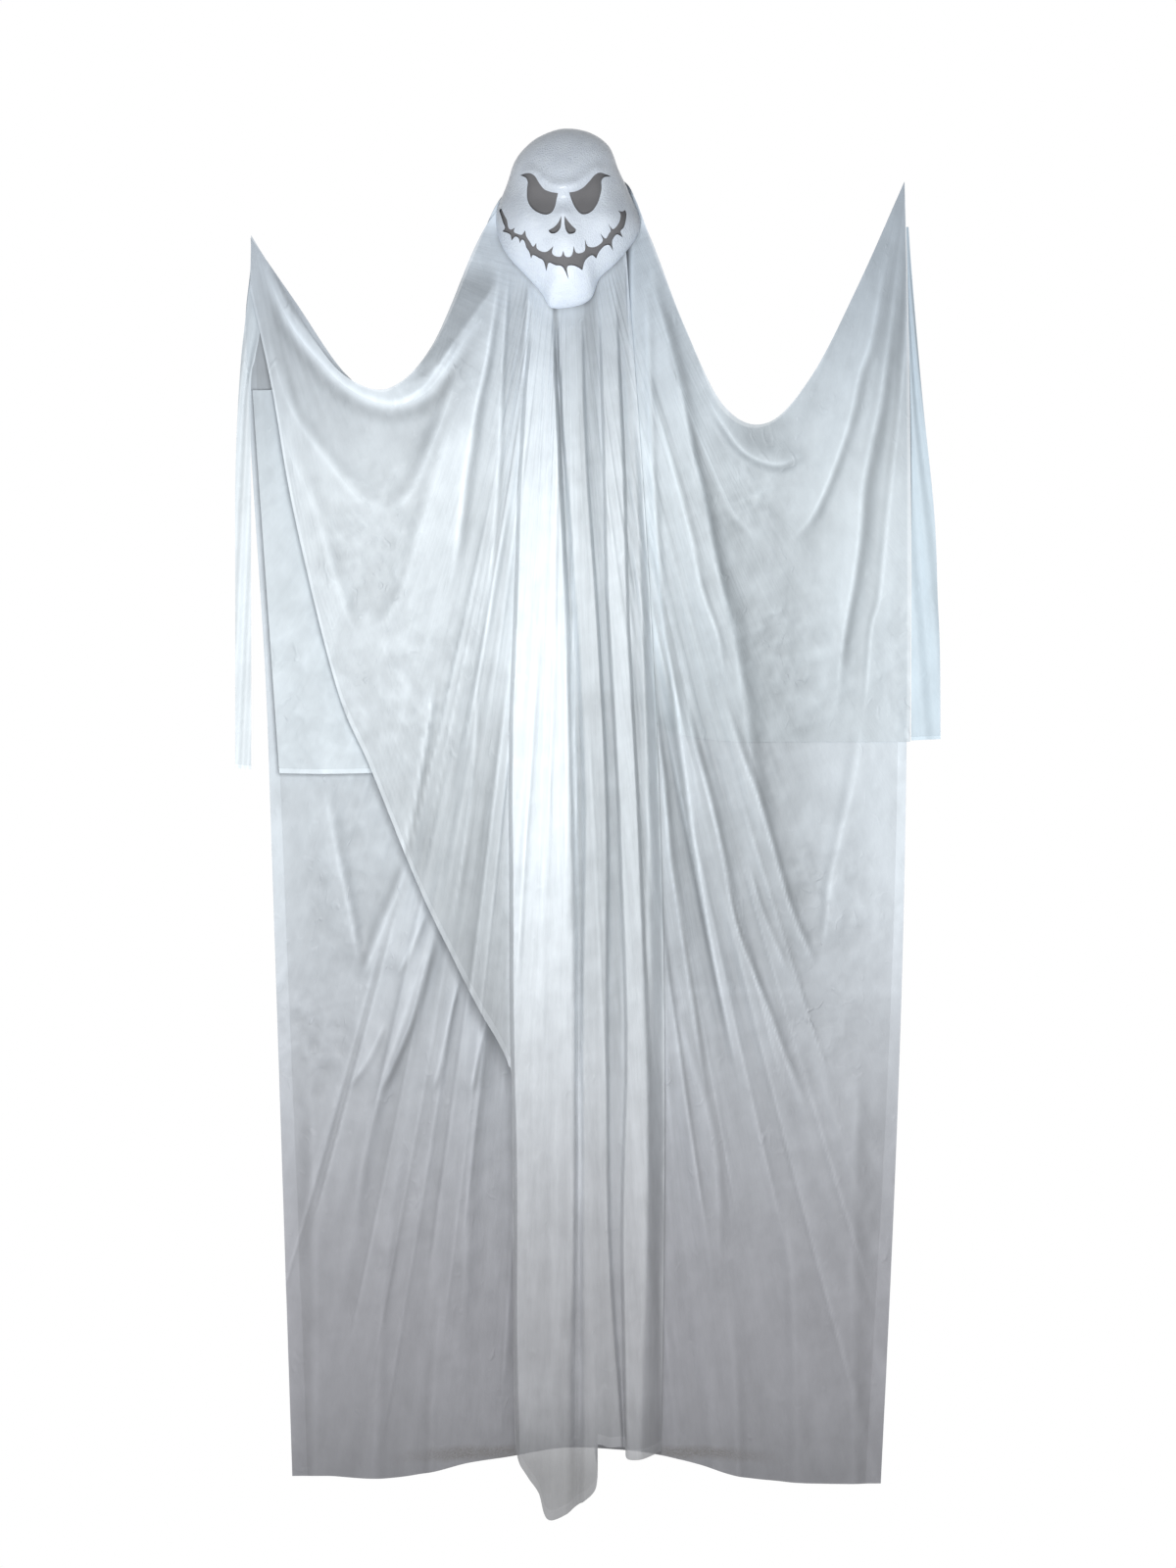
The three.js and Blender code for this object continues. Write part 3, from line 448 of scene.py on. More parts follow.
gauze("eye_gauze_left", outlines[0], gauze_gap)
gauze("eye_gauze_right", outlines[1], gauze_gap)
gauze("nose_gauze", np.vstack(outlines[2:]), gauze_gap + nose_set_back)

grin_middle = smooth_line(grin_line)
bm = bmesh.new()
bmesh.ops.create_grid(bm, x_segments=90, y_segments=14, size=0.5)
flat = np.array([v.co for v in bm.verts])
along, across = flat[:, 0] + 0.5, flat[:, 1] + 0.5
heading = grin_middle(along + 0.004) - grin_middle(along - 0.004)
heading /= np.linalg.norm(heading, axis=1, keepdims=True)
out = (0.3 + 2.8 * along * (1 - along)) * mixed(-27, 26, across)
x = grin_middle(along)[:, 0] - heading[:, 1] * out
drop = grin_middle(along)[:, 1] + heading[:, 0] * out
behind = gauze_gap + mouth_set_back + gauze_half
move_to(bm, placed(x, behind - mask_stand(x, drop, mask_wall), drop))
face_forward(bm)
piece("mouth_gauze_weave", bm, gauze_grey, stands_for=["mouth_gauze"])

# Foam head and glue
# An egg of white beaded foam that fills the mask and the hood, and two pads of cloudy glue
# that hold the mask's forehead to it.
core_middle_drop = 0.457 * head_height
core_half_width = half_head - 29
core_half_height = core_middle_drop - 9
core_front = mask_depth - 14
core_back = 78


def egg(turn, share, depth, start, grow=0.0):
    """A point on half an egg that stands to the front or the back of its widest ring."""
    reach = np.sin(share * math.pi / 2)
    out = np.cos(share * math.pi / 2)
    return placed(
        head_aside + reach * (core_half_width + grow) * np.cos(turn),
        start + (depth + math.copysign(1, depth) * grow) * out,
        core_middle_drop - reach * (core_half_height + grow) * np.sin(turn),
    )


def joined(*meshes):
    """Several meshes put together as one."""
    whole = meshes[0]
    for part in meshes[1:]:
        spare = bpy.data.meshes.new("spare")
        part.to_mesh(spare)
        part.free()
        whole.from_mesh(spare)
        bpy.data.meshes.remove(spare)
    return whole


foam_white, tree, shader = paint("foam_white", (0.88, 0.87, 0.84), 0.85)
beads = node(tree, "TexVoronoi", {"Vector": pattern_place(tree, (1, 1, 1)), "Scale": 330})
bump(tree, shader, beads.outputs["Distance"], 0.5, 0.0015)
bm, turn, share = round_sheet(48)
move_to(bm, egg(turn, share, -core_front, -1))
back_half, turn, share = round_sheet(48)
move_to(back_half, egg(turn, share, core_back, 1))
bm = joined(bm, back_half)
rims = [edge for edge in bm.edges if edge.is_boundary]
bmesh.ops.bridge_loops(bm, edges=rims)
bmesh.ops.recalc_face_normals(bm, faces=bm.faces)
foam = piece("foam_head", bm, foam_white, stands_for=["head_core"])

glue_cloudy, tree, shader = paint("glue_cloudy", (0.79, 0.75, 0.65), 0.35, Coat_Weight=0.3)
bump(tree, shader, noise(tree, (160, 160, 160), 2), 0.6, 0.001)
pad_radius = 9
pad_aside = 27
pad_drop = 0.17 * head_height
touch_gap = 0.3
for name, x_middle in (("glue_pad_left", head_aside - pad_aside),
                       ("glue_pad_right", head_aside + pad_aside)):
    bm, turn, share = round_sheet(24)
    x = x_middle + share * pad_radius * np.cos(turn)
    drop = pad_drop - share * pad_radius * np.sin(turn)
    front_side = touch_gap - mask_stand(x, drop, mask_wall + touch_gap)
    side = (x - head_aside) / core_half_width
    up = (core_middle_drop - drop) / core_half_height
    back_side = -1 - core_front * np.sqrt(1 - side**2 - up**2) - touch_gap
    middle_depth = (front_side + back_side) / 2
    swell = np.sqrt(np.maximum(0, 1 - share**6))
    move_to(bm, placed(x, mixed(middle_depth, front_side, swell), drop))
    other, turn, share = round_sheet(24)
    move_to(other, placed(x, mixed(middle_depth, back_side, swell), drop))
    bm = joined(bm, other)
    bmesh.ops.remove_doubles(bm, verts=bm.verts, dist=1e-6)
    bmesh.ops.recalc_face_normals(bm, faces=bm.faces)
    piece(name + "_blob", bm, glue_cloudy, stands_for=[name])

# Cloth
# Sheer white polyester with a slight sheen and fine crinkles. Each layer has a tint of its own,
# greyer where it hangs single, as painted shade, and lets some of the layer behind show through.
# The light and shade of its folds, grooves and patches are painted into its colour.
smudge_level = -2.027
darkest, whitest = -2.2, 1.6


def reckon(tree, operation, *values):
    """The result of a sum on plain values or sockets."""
    return node(tree, "Math", dict(enumerate(values)), operation=operation).outputs[0]


def cloth_paint(name, colour, low_shaded_colour, opacity, side_hem=0.0, low_hem=0.0, smudge=0.0,
                foot_shade=0.8, low_hem_on_right=1.0):
    """Sheer cloth: its tint above and below, painted light and shade where it lies double or
    folds, creases and hems.
    """
    material, tree, shader = paint(name, colour, 0.55, Alpha=opacity, Sheen_Weight=0.25)
    shader.inputs["Sheen Roughness"].default_value = 0.4
    shader.inputs["Specular IOR Level"].default_value = 0.35
    where = node(tree, "TexCoord")
    height = node(tree, "SeparateXYZ", {"Vector": where.outputs["Object"]}).outputs["Z"]
    # Painted shade: the tint turns darker and greyer lower down
    fall = ramp(tree, height, -0.95, -1.9, 0, 1, soft=True)
    tint = blend(tree, fall, (*colour, 1), (*low_shaded_colour, 1))
    # Painted shade: high up, near the head and the wrists, the tint is bluer and darker, and the
    # foot is darker too
    high = ramp(tree, height, -0.6, -0.12, 0, 1, soft=True)
    tint = times(tree, tint, blend(tree, high, (1, 1, 1, 1), (0.78, 0.80, 0.84, 1)))
    tint = times(tree, tint, ramp(tree, height, -1.93, -2.05, 1, foot_shade))
    cloud = noise(tree, (7, 7, 2.2), 6, Roughness=0.6)
    tint = times(tree, tint, ramp(tree, cloud, 0.3, 0.7, 0.94, 1.05))
    # Streaks of the weave run down the body's fan, and on the arms away from the wrists
    streaks = []
    for uv_map in ("grain", "arm_grain"):
        threads = node(tree, "UVMap", uv_map=uv_map).outputs["UV"]
        place = node(tree, "Mapping", {"Vector": threads, "Scale": (210, 9, 1)}).outputs[0]
        streaks.append(node(tree, "TexNoise", {
            "Vector": place, "Scale": 1, "Detail": 4, "Roughness": 0.65,
        }).outputs["Fac"])
    from_wrist = node(tree, "SeparateXYZ", {"Vector": threads}).outputs["Y"]
    streak = blend(tree, ramp(tree, from_wrist, 0.35, 0.6, 0, 1), streaks[1], streaks[0])
    # They show in the long pleats of the middle, and less elsewhere
    sideways = node(tree, "SeparateXYZ", {"Vector": where.outputs["Object"]}).outputs["X"]
    off_middle = reckon(tree, "ABSOLUTE", reckon(tree, "ADD", sideways, -0.03))
    streak = blend(tree, ramp(tree, off_middle, 0.13, 0.34, 0.1, 0.75), streak, (0.5, 0.5, 0.5, 1))
    tint = times(tree, tint, ramp(tree, streak, 0.3, 0.7, 0.93, 1.07))
    # Small sharp creases, stronger in patches and where the cloth is crumpled, with painted shade
    # in them and painted light on their ridges
    rough = node(tree, "TexNoise", {
        "Vector": pattern_place(tree, (1, 1, 0.6)), "Scale": 48, "Detail": 7, "Roughness": 0.62,
        "Distortion": 1.4,
    }, noise_type="RIDGED_MULTIFRACTAL").outputs["Fac"]
    patchy = ramp(tree, noise(tree, (5, 5, 4), 2), 0.42, 0.66, 0.25, 1)
    crumpled = node(tree, "Attribute", attribute_name="crumpled").outputs["Fac"]
    patchy = reckon(tree, "MULTIPLY", patchy, ramp(tree, crumpled, 0, 1, 0.6, 2))
    creases = reckon(tree, "MULTIPLY", ramp(tree, rough, 0.2, 1.5, -0.5, 1), patchy)
    tint = times(tree, tint, ramp(tree, creases, -0.5, 1, 0.88, 1.26))
    # Painted light and shade on folds and patches: whiter where the cloth lies double, and darker
    # where it turns under
    painted_light_and_doubling = node(tree, "Attribute", attribute_name="painted_light_and_doubling").outputs["Fac"]
    tint = times(tree, tint, ramp(tree, painted_light_and_doubling, darkest, whitest, 0.34, 1.41))
    # The UV map holds sizes along the cloth, in metres from its nearer side and its lower edge
    along = node(tree, "SeparateXYZ", {"Vector": where.outputs["UV"]})
    hem = 0.0
    if side_hem:
        hem = ramp(tree, along.outputs["X"], side_hem, side_hem * 0.94, 0, 1)
    if low_hem:
        hem = ramp(tree, along.outputs["Y"], low_hem, low_hem * 0.9, 0, 1)
        hem = reckon(tree, "MULTIPLY", hem, ramp(tree, sideways, 0.03, 0.09, 1, low_hem_on_right))
    if smudge:
        # A dark line in two arcs beside the front drape, where the cloth has trailed
        arc = reckon(tree, "MULTIPLY", ramp(tree, off_middle, 0.09, 0.12, 0, 1),
                     ramp(tree, off_middle, 0.2, 0.31, 1, 0))
        lift = ramp(tree, noise(tree, (9, 9, 9), 5), 0, 1, -0.008, 0.008)
        sag = ramp(tree, off_middle, 0.2, 0.3, smudge_level, smudge_level - 0.008)
        far = reckon(tree, "ADD", reckon(tree, "SUBTRACT", height, sag), lift)
        far = reckon(tree, "ABSOLUTE", far)
        spots = ramp(tree, noise(tree, (70, 70, 160), 4), 0.35, 0.6, 0.3, 1)
        line = reckon(tree, "MULTIPLY", ramp(tree, far, 0.004, 0.013, smudge, 0), spots)
        tint = blend(tree, reckon(tree, "MULTIPLY", line, arc), tint, (0.20, 0.19, 0.185, 1))
    # A turned hem looks lighter
    brighter = times(tree, tint, (1.3, 1.3, 1.3, 1))
    tint = blend(tree, reckon(tree, "MULTIPLY", hem, 0.55), tint, brighter)
    tree.links.new(tint, shader.inputs["Base Color"])
    creased = bump(tree, shader, creases, 0.7, 0.004)
    crimped = bump(tree, shader, streak, 0.6, 0.0022, creased)
    if side_hem or low_hem:
        bump(tree, shader, hem, 0.6, 0.0008, crimped)
    return material


# In millimetres: depths behind the mask's rim, steps between the layers, and the places of the
# wrists, of the lowest points of the swags and of the hems
tip_depth = 6
tip_flat = 80
tip_opening = 360
cloth_thickness = 1.2
seam_gap = 0.5
layer_step = cloth_thickness + seam_gap
layer_room = 15
hang_depth = 42
hood_set_back = 3
hood_back = hood_set_back + core_back + seam_gap + cloth_thickness
left_reach = 481
left_tip_drop = 163
left_dip_drop = 396
right_reach = 519
right_tip_drop = 79
right_dip_drop = 449
cape_hem_drop = 938
back_hem_drop = 2066
corner_drop = 2126
span_middle = (right_reach - left_reach) / 2
span_half = (right_reach + left_reach) / 2

# Main folds: height forward, half width, whiteness of the painted light on the crest where the
# cloth lies double, and the line that each follows, as x and drop. With a whiteness above zero the
# fold turns under, with painted shade, on its right going down; below zero, on its left.
back_folds = [
    (10, 10, -0.8, (102, 793), (117, 943), (127, 1083), (140, 1263), (149, 1413), (162, 1513)),
    (12, 11, 0.9, (127, 763), (140, 913), (152, 1013), (160, 1113), (175, 1213), (190, 1313),
     (205, 1413), (220, 1513)),
    (15, 13, -1.0, (149, 763), (164, 838), (175, 913), (187, 1003), (200, 1103), (214, 1188),
     (230, 1278), (250, 1373), (280, 1513)),
    (15, 14, 1.0, (184, 828), (194, 923), (220, 1023), (244, 1133), (260, 1213), (284, 1283),
     (314, 1358), (344, 1443), (374, 1503)),
    (13, 14, 1.0, (235, 848), (269, 953), (295, 1023), (320, 1108), (344, 1188), (370, 1253),
     (387, 1290)),
    (12, 20, -0.6, (454, 888), (450, 953), (437, 1023), (420, 1093), (407, 1153), (400, 1223),
     (388, 1288)),
    (8, 10, 0.7, (280, 1123), (299, 1188), (320, 1243), (344, 1303)),
    (13, 20, 0.6, (-376, 974), (-352, 1108), (-333, 1195), (-314, 1305)),
    (12, 18, -0.8, (-237, 1099), (-256, 1161), (-280, 1219), (-299, 1267), (-314, 1305)),
    (14, 14, 1.0, (-198, 1214), (-218, 1291), (-237, 1363), (-266, 1435), (-290, 1483)),
    (10, 11, 0.8, (-213, 1195), (-237, 1252), (-261, 1300)),
    (11, 10, 0.9, (-162, 1291), (-179, 1363), (-194, 1435), (-208, 1483)),
    (10, 10, 0.9, (-124, 1368), (-136, 1425), (-148, 1483)),
    (8, 12, 0.7, (-275, 1363), (-304, 1425), (-338, 1473)),
    (13, 20, 0.5, (-170, 1120), (-244, 1350), (-300, 1520), (-330, 1700)),
    (12, 18, 0.4, (-112, 1330), (-145, 1560), (-160, 1850)),
    (12, 18, 0.5, (112, 778), (126, 1090), (145, 1314), (168, 1620)),
    (12, 18, 0.4, (160, 1315), (190, 1420), (228, 1560), (240, 1800)),
    (12, 24, -0.25, (-392, 1430), (-385, 1760), (-388, 2250)),
    (11, 22, 0.25, (-262, 1640), (-285, 1850), (-300, 2250)),
    (10, 20, -0.25, (-190, 1760), (-205, 1950), (-210, 2250)),
    (12, 24, 0.25, (448, 1420), (440, 1760), (446, 2250)),
    (11, 22, -0.25, (338, 1640), (352, 1850), (356, 2250)),
    (10, 20, 0.25, (250, 1800), (262, 1950), (270, 2250)),
]
cape_folds = [
    (13, 14, 0.5, (122, 193), (124, 293), (126, 383), (130, 493), (137, 593), (148, 743),
     (164, 838), (175, 913), (187, 1003)),
    (18, 22, 0.7, (122, 168), (137, 253), (154, 313), (175, 393), (192, 483), (212, 563),
     (224, 633), (239, 703), (260, 783), (295, 1023), (314, 1083)),
    (10, 12, 0.6, (119, 363), (137, 423), (164, 518), (190, 618), (209, 708), (235, 783),
     (244, 863)),
    (9, 16, -0.5, (164, 343), (184, 418), (220, 508), (254, 583), (299, 633)),
    (16, 15, -0.7, (210, 400), (239, 448), (268, 488), (300, 508), (335, 512), (370, 492)),
    (14, 20, 0.7, (512, 133), (489, 208), (477, 273), (465, 333), (450, 373), (435, 443),
     (414, 508), (392, 563), (370, 603), (329, 643)),
    (16, 19, 0.7, (516, 143), (507, 233), (492, 343), (480, 423), (465, 493), (454, 553),
     (450, 618), (440, 693), (427, 768), (420, 838), (414, 913)),
    (8, 12, -0.6, (519, 173), (522, 293), (512, 423), (502, 518), (492, 618), (482, 718),
     (470, 763), (462, 863), (454, 928)),
]
# The roll of the left swag, from the wrist to the jaw
swag_roll = [
    (-472, 190), (-448, 246), (-419, 303), (-381, 351), (-338, 394), (-290, 419), (-246, 421),
    (-208, 402), (-179, 365), (-150, 322), (-112, 268),
]
front_folds = [
    (20, 30, -1.3, *swag_roll),
    (9, 12, -0.8, (-266, 428), (-218, 399), (-189, 361), (-160, 313)),
    (11, 28, 0.5, (-465, 265), (-443, 361), (-414, 438), (-366, 505), (-323, 558), (-280, 594)),
    (11, 28, -0.5, (-160, 351), (-179, 418), (-208, 495), (-237, 558), (-280, 594)),
    (9, 26, 0.35, (-453, 385), (-424, 486), (-390, 562), (-362, 649), (-338, 735), (-309, 788)),
    (9, 26, -0.35, (-160, 409), (-189, 505), (-218, 601), (-256, 721), (-309, 788)),
    (22, 17, 1.0, (-98, 198), (-107, 265), (-122, 361), (-136, 423), (-146, 486), (-153, 529),
     (-162, 601), (-170, 658), (-182, 721)),
    (10, 10, 0.7, (-86, 202), (-92, 289), (-98, 385), (-102, 505), (-112, 649), (-122, 788)),
    (8, 10, -0.7, (-54, 231), (-59, 303), (-65, 409)),
    (10, 16, 0.7, (-198, 826), (-218, 953), (-237, 1060), (-262, 1150)),
    (8, 12, 0.5, (-135, 820), (-140, 960), (-155, 1100), (-176, 1240)),
]
# Flat pleats of the middle: height forward, whiteness as painted light, or painted shade in the
# grooves, softness of the edges, and the two lines they lie between
front_pleats = [
    (24, 0.6, 4, [(-52, 250), (-73, 583), (-82, 1153), (-80, 1600), (-69, 2100)],
     [(-24, 250), (-6, 583), (10, 913), (14, 1153), (14, 1600), (10, 2130)]),
    (-5, -1.2, 3, [(-22, 250), (-3, 583), (13, 913), (16, 1153), (16, 1600), (12, 2130)],
     [(-15, 250), (5, 583), (21, 913), (24, 1153), (24, 1600), (20, 2130)]),
    (15, 0.1, 3, [(-14, 250), (6, 583), (23, 913), (27, 1153), (27, 1600), (22, 2130)],
     [(27, 250), (38, 583), (58, 943), (66, 1319), (68, 1695), (86, 2030)]),
    (-4, -0.6, 4, [(29, 250), (40, 583), (60, 943), (68, 1319), (70, 1695), (88, 2030)],
     [(47, 250), (58, 583), (75, 943), (86, 1319), (87, 1695), (91, 2030)]),
    (19, 0.45, 3, [(50, 250), (61, 583), (77, 943), (89, 1319), (89, 1695), (93, 2040)],
     [(76, 250), (92, 583), (107, 943), (121, 1319), (133, 1695), (141, 2040)]),
    (-4, -0.35, 5, [(78, 250), (94, 583), (109, 943), (123, 1319), (135, 1695), (143, 2040)],
     [(86, 250), (103, 583), (119, 943), (134, 1319), (146, 1695), (152, 2040)]),
]
# The same for the right arm: one wide pleat from the jaw
cape_pleats = [
    (10, 0.12, 7, [(122, 193), (126, 383), (132, 593), (164, 838), (210, 1100)],
     [(122, 168), (175, 393), (212, 563), (260, 783), (330, 1100)]),
]
fold_fade = 0.22
# The fan of the body: lines that leave the neck and curve outward on their way down
fan_start = -150
fan_curve = 1.3
chance = np.random.default_rng(31)
# The bright line along a fold is never thinner than this, in millimetres
narrowest_crest = 2.4


def folds_at(folds, x, drop):
    """How far a set of folds stands forward at each place on the cloth, and its painted light and
    shade.
    """
    height, white = np.zeros_like(x), np.zeros_like(x)
    for tall, width, whiteness, *points in folds:
        line = smooth_line(points)(np.linspace(0, 1, 33))
        reach = 4.5 * width
        low, high = line.min(axis=0) - reach, line.max(axis=0) + reach
        near = np.flatnonzero((x > low[0]) & (x < high[0]) & (drop > low[1]) & (drop < high[1]))
        nearest = np.full(len(near), np.inf)
        place, side = np.zeros(len(near)), np.zeros(len(near))
        for step, (start, end) in enumerate(zip(line, line[1:])):
            run = end - start
            off_x, off_drop = x[near] - start[0], drop[near] - start[1]
            inside = np.clip((off_x * run[0] + off_drop * run[1]) / (run @ run), 0, 1)
            away = np.hypot(inside * run[0] - off_x, inside * run[1] - off_drop)
            closer = away < nearest
            nearest[closer] = away[closer]
            place[closer] = (step + inside[closer]) / (len(line) - 1)
            side[closer] = np.sign(run[1] * off_x - run[0] * off_drop)[closer]
        # The fold opens and closes a little along its line
        turned = math.copysign(1, whiteness) * side * nearest / width
        turned /= 1 + 0.2 * np.sin(place * 5 + width)
        ends = ease(place, 0, fold_fade) * (1 - ease(place, 1 - fold_fade, 1))
        under = turned > 0
        rise = np.exp(-np.where(under, turned / 0.7, turned / 1.9) ** 2)
        shade = -0.6 * np.exp(-((turned - 0.5) / 0.34) ** 2)
        shade -= 0.32 * np.exp(-((turned - 1.3) / 1.2) ** 2)
        crest = np.exp(-(turned / max(0.2, narrowest_crest / width)) ** 2)
        height[near] += 0.6 * tall * ends * rise
        white[near] += abs(whiteness) * ends * (crest + np.where(under, shade, 0.35 * rise))
    return height, white


def pleats_at(pleats, x, drop):
    """The same for flat pleats, whose edges are sharper than a fold's."""
    height, white = np.zeros_like(x), np.zeros_like(x)
    for tall, whiteness, soft, *edges in pleats:
        within = np.ones_like(x)
        for edge, sign in zip(edges, (1, -1)):
            line = smooth_line(edge)(np.linspace(0, 1, 60))
            wander = 2.5 * np.sin(drop / 170 + tall) + 0.8 * np.sin(drop / 71 + 2 * tall)
            beside = x - np.interp(drop, line[:, 1], line[:, 0]) - wander
            within *= ease(sign * beside, -soft, soft)
        height += tall * within * ease(drop, 240, 420)
        white += whiteness * within * ease(drop, 170, 290)
    return height, white


waves = [(chance.uniform(0, 2 * math.pi), chance.uniform(0, 2 * math.pi), length)
         for length in np.geomspace(15, 70, 16)]


def crinkles(x, drop):
    """Small creases in every direction, between -1 and 1, where the cloth was packed flat."""
    total = np.zeros_like(x)
    warp_x = x + 9 * np.sin(drop / 43 + 1) + 5 * np.sin(x / 27)
    warp_drop = drop + 9 * np.sin(x / 51 + 2) + 5 * np.sin(drop / 31)
    for heading, start, length in waves:
        phase = (warp_x * math.cos(heading) + warp_drop * math.sin(heading)) / length * math.pi
        total += (0.64 - np.abs(np.sin(phase + start))) * (length / 70) ** 0.5
    patches = 0.55 + 0.45 * np.sin(x / 83 + 1.3 * np.sin(drop / 140)) * np.sin(drop / 109 + 2)
    return total / 2.6 * patches


# Where the cloth is most crumpled: x and drop of the middle, half width and half height
crumpled_places = [
    (-289, 660, 80, 100), (-225, 820, 70, 130), (-350, 880, 60, 120), (-313, 1190, 60, 120),
    (-385, 1390, 60, 70), (388, 1190, 65, 120), (405, 1380, 55, 70), (345, 780, 70, 110),
    (540, 860, 40, 150), (300, 560, 60, 60), (-200, 330, 60, 60), (-430, 900, 40, 90),
]


def crumple_at(x, drop):
    """How crumpled the cloth is, from 0 to 1."""
    far = [((x - mid_x) / wide) ** 2 + ((drop - mid_drop) / high) ** 2
           for mid_x, mid_drop, wide, high in crumpled_places]
    return np.exp(-np.min(far, axis=0))


def fan_share(x, drop):
    """Which line of the body's fan a place lies on: its x where the fan is one metre long."""
    return x / (np.maximum(drop - fan_start, 60) / 1000) ** fan_curve


def fan_folds(count, start, end):
    """Slender folds along the body's fan, each with its own place, length, size and side."""
    folds = []
    for share in np.linspace(-180, 210, count) + chance.uniform(-12, 12, count):
        top = chance.uniform(start, mixed(start, end, 0.6))
        drops = np.linspace(top, top + chance.uniform(420, 900), 5)
        line = [(share * ((drop - fan_start) / 1000) ** fan_curve, drop) for drop in drops]
        tall, width = chance.uniform(3, 6), chance.uniform(4, 9)
        folds.append((tall, width, chance.choice([-1, 1]) * chance.uniform(0.25, 0.6), *line))
    return folds


back_folds += fan_folds(28, 900, 1500)
cape_folds += [fold for fold in fan_folds(20, 300, 700) if fold[3][0] > 60]
front_folds += [fold for fold in fan_folds(22, 260, 1400) if fold[3][0] < 60]


# The pleats of each arm spread from a hub a little beyond the wrist and above it
wrists = [(-left_reach, left_tip_drop, -1), (right_reach, right_tip_drop, 1)]
hub_beyond = 10
hub_above = 60


def from_hub(x, drop, tip_x, tip_drop, lean):
    """The turn and the distance of places from the hub of an arm's pleats."""
    side, below = x - tip_x - hub_beyond * lean, drop - tip_drop + hub_above
    return np.arctan2(side, np.maximum(below, 1)), np.hypot(side, below)


def pleat_wave(lay, far, spacing, seed):
    """Fine pleats side by side, which come and go, as a wave between -1 and 1."""
    sway = 2.2 * np.sin(far / 160 + seed) + 0.8 * np.sin(far / 61 + lay / 70)
    wave = np.sin(2 * math.pi * (lay + sway) / spacing + seed)
    wave = 0.6 * wave + 0.4 * np.sin(2 * math.pi * (lay - sway) / (0.57 * spacing) + 2 * seed)
    patches = 0.5 + 0.5 * np.sin(lay / 61 + far / 210 + seed) * np.sin(lay / 37 - far / 170 + 2)
    return wave * patches


def fine_pleats(x, drop, seed):
    """Fine pleats that hang from the neck and from both wrists."""
    share = fan_share(x, drop)
    total = pleat_wave(share, drop, 21, seed) * (1 - 0.9 * ease(np.abs(share), 220, 330))
    for wrist_place in wrists:
        turn, far = from_hub(x, drop, *wrist_place)
        total = mixed(pleat_wave(turn * 330, far, 26, seed + 1), total, ease(far, 260, 560))
    return total


def opening(x, drop):
    """0 at the wrists, where the layers lie flat on each other, and 1 where they hang open."""
    to_left = np.hypot(x + left_reach, drop - left_tip_drop)
    to_right = np.hypot(x - right_reach, drop - right_tip_drop)
    return ease(np.minimum(to_left, to_right), tip_flat, tip_flat + tip_opening)


def hanging_depth(x, drop):
    """How far back the cloth hangs: least at the wrists, most behind the head and low down."""
    side = np.abs(x - span_middle) / (1.1 * span_half)
    hang = hang_depth * np.maximum(0, 1 - side**2) * ease(drop, 200, 900)
    head_side = np.abs(x - head_aside) / (0.8 * half_head)
    behind_head = np.exp(-(head_side**16)) * (1 - ease(drop, 0.92 * head_height, 410))
    head_room = hood_back + seam_gap - tip_depth + layer_step
    return tip_depth + opening(x, drop) * hang + head_room * behind_head


def small_folds(x, drop, seed):
    """Fine pleats and crinkles: how far they stand forward, and their painted light and shade."""
    fine, rough = fine_pleats(x, drop, seed), crinkles(x + 37 * seed, drop + 11 * seed)
    crumple = crumple_at(x, drop)
    height = 1.7 * fine * (1 - 0.6 * crumple) + (0.9 + 1.2 * crumple) * rough
    white = 0.26 * fine * (1 - crumple) + (0.18 + 0.5 * crumple) * rough + 0.2 * crumple
    return height, white


# Patches that the light of the photo makes lighter or darker: whiteness, then the left, right,
# upper and lower edge, each with where its change starts and ends. The last one of the back
# sheet is the dark slit below the left wrist
back_patches = [
    (0.35, (340, 400), None, (760, 880), (1150, 1300)),
    (0.55, (440, 480), None, (500, 700), (1150, 1500)),
    (0.3, (330, 400), None, (1150, 1300), (1450, 1650)),
    (-0.72, (120, 180), (340, 430), None, (1150, 1450)),
    (-0.2, None, (-280, -230), None, (1150, 1300)),
    (0.3, None, (-435, -405), (1000, 1100), None),
    (-1, None, (-446, -436), (230, 300), (396, 402)),
]
cape_patches = [
    (-0.15, None, (-200, -120), None, None),
    (-0.72, (120, 170), (330, 450), (430, 640), None),
    (0.4, (470, 495), None, (420, 600), None),
]
# The drape lies single left of the pleats, with painted shade, and is lighter where the cape hangs
# behind it. The grooves of the pleats have painted shade, darker above and fading below. The
# corner, which hangs alone under the back sheet's hem, has painted shade as well
front_patches = [
    (-0.35, None, (-95, -75), (480, 620), None),
    (-0.6, None, (-95, -75), (760, 1050), None),
    (0.14, (0, 30), None, None, (cape_hem_drop - 80, cape_hem_drop - 72)),
    (-0.6, (12, 24), (120, 135), None, None),
    (1.1, (12, 24), (120, 135), (1050, 1700), None),
    (-0.3, (12, 24), (120, 135), (650, 900), (1050, 1500)),
    (-0.35, None, None, (2026, 2038), None),
]


def patches_at(patches, x, drop):
    """The whiteness that a set of patches adds at each place on the cloth."""
    white = np.zeros_like(x)
    for amount, left_edge, right_edge, upper_edge, lower_edge in patches:
        patch = np.full_like(x, amount)
        if left_edge:
            patch *= ease(x, *left_edge)
        if right_edge:
            patch *= 1 - ease(x, *right_edge)
        if upper_edge:
            patch *= ease(drop, *upper_edge)
        if lower_edge:
            patch *= 1 - ease(drop, *lower_edge)
        white += patch
    return white


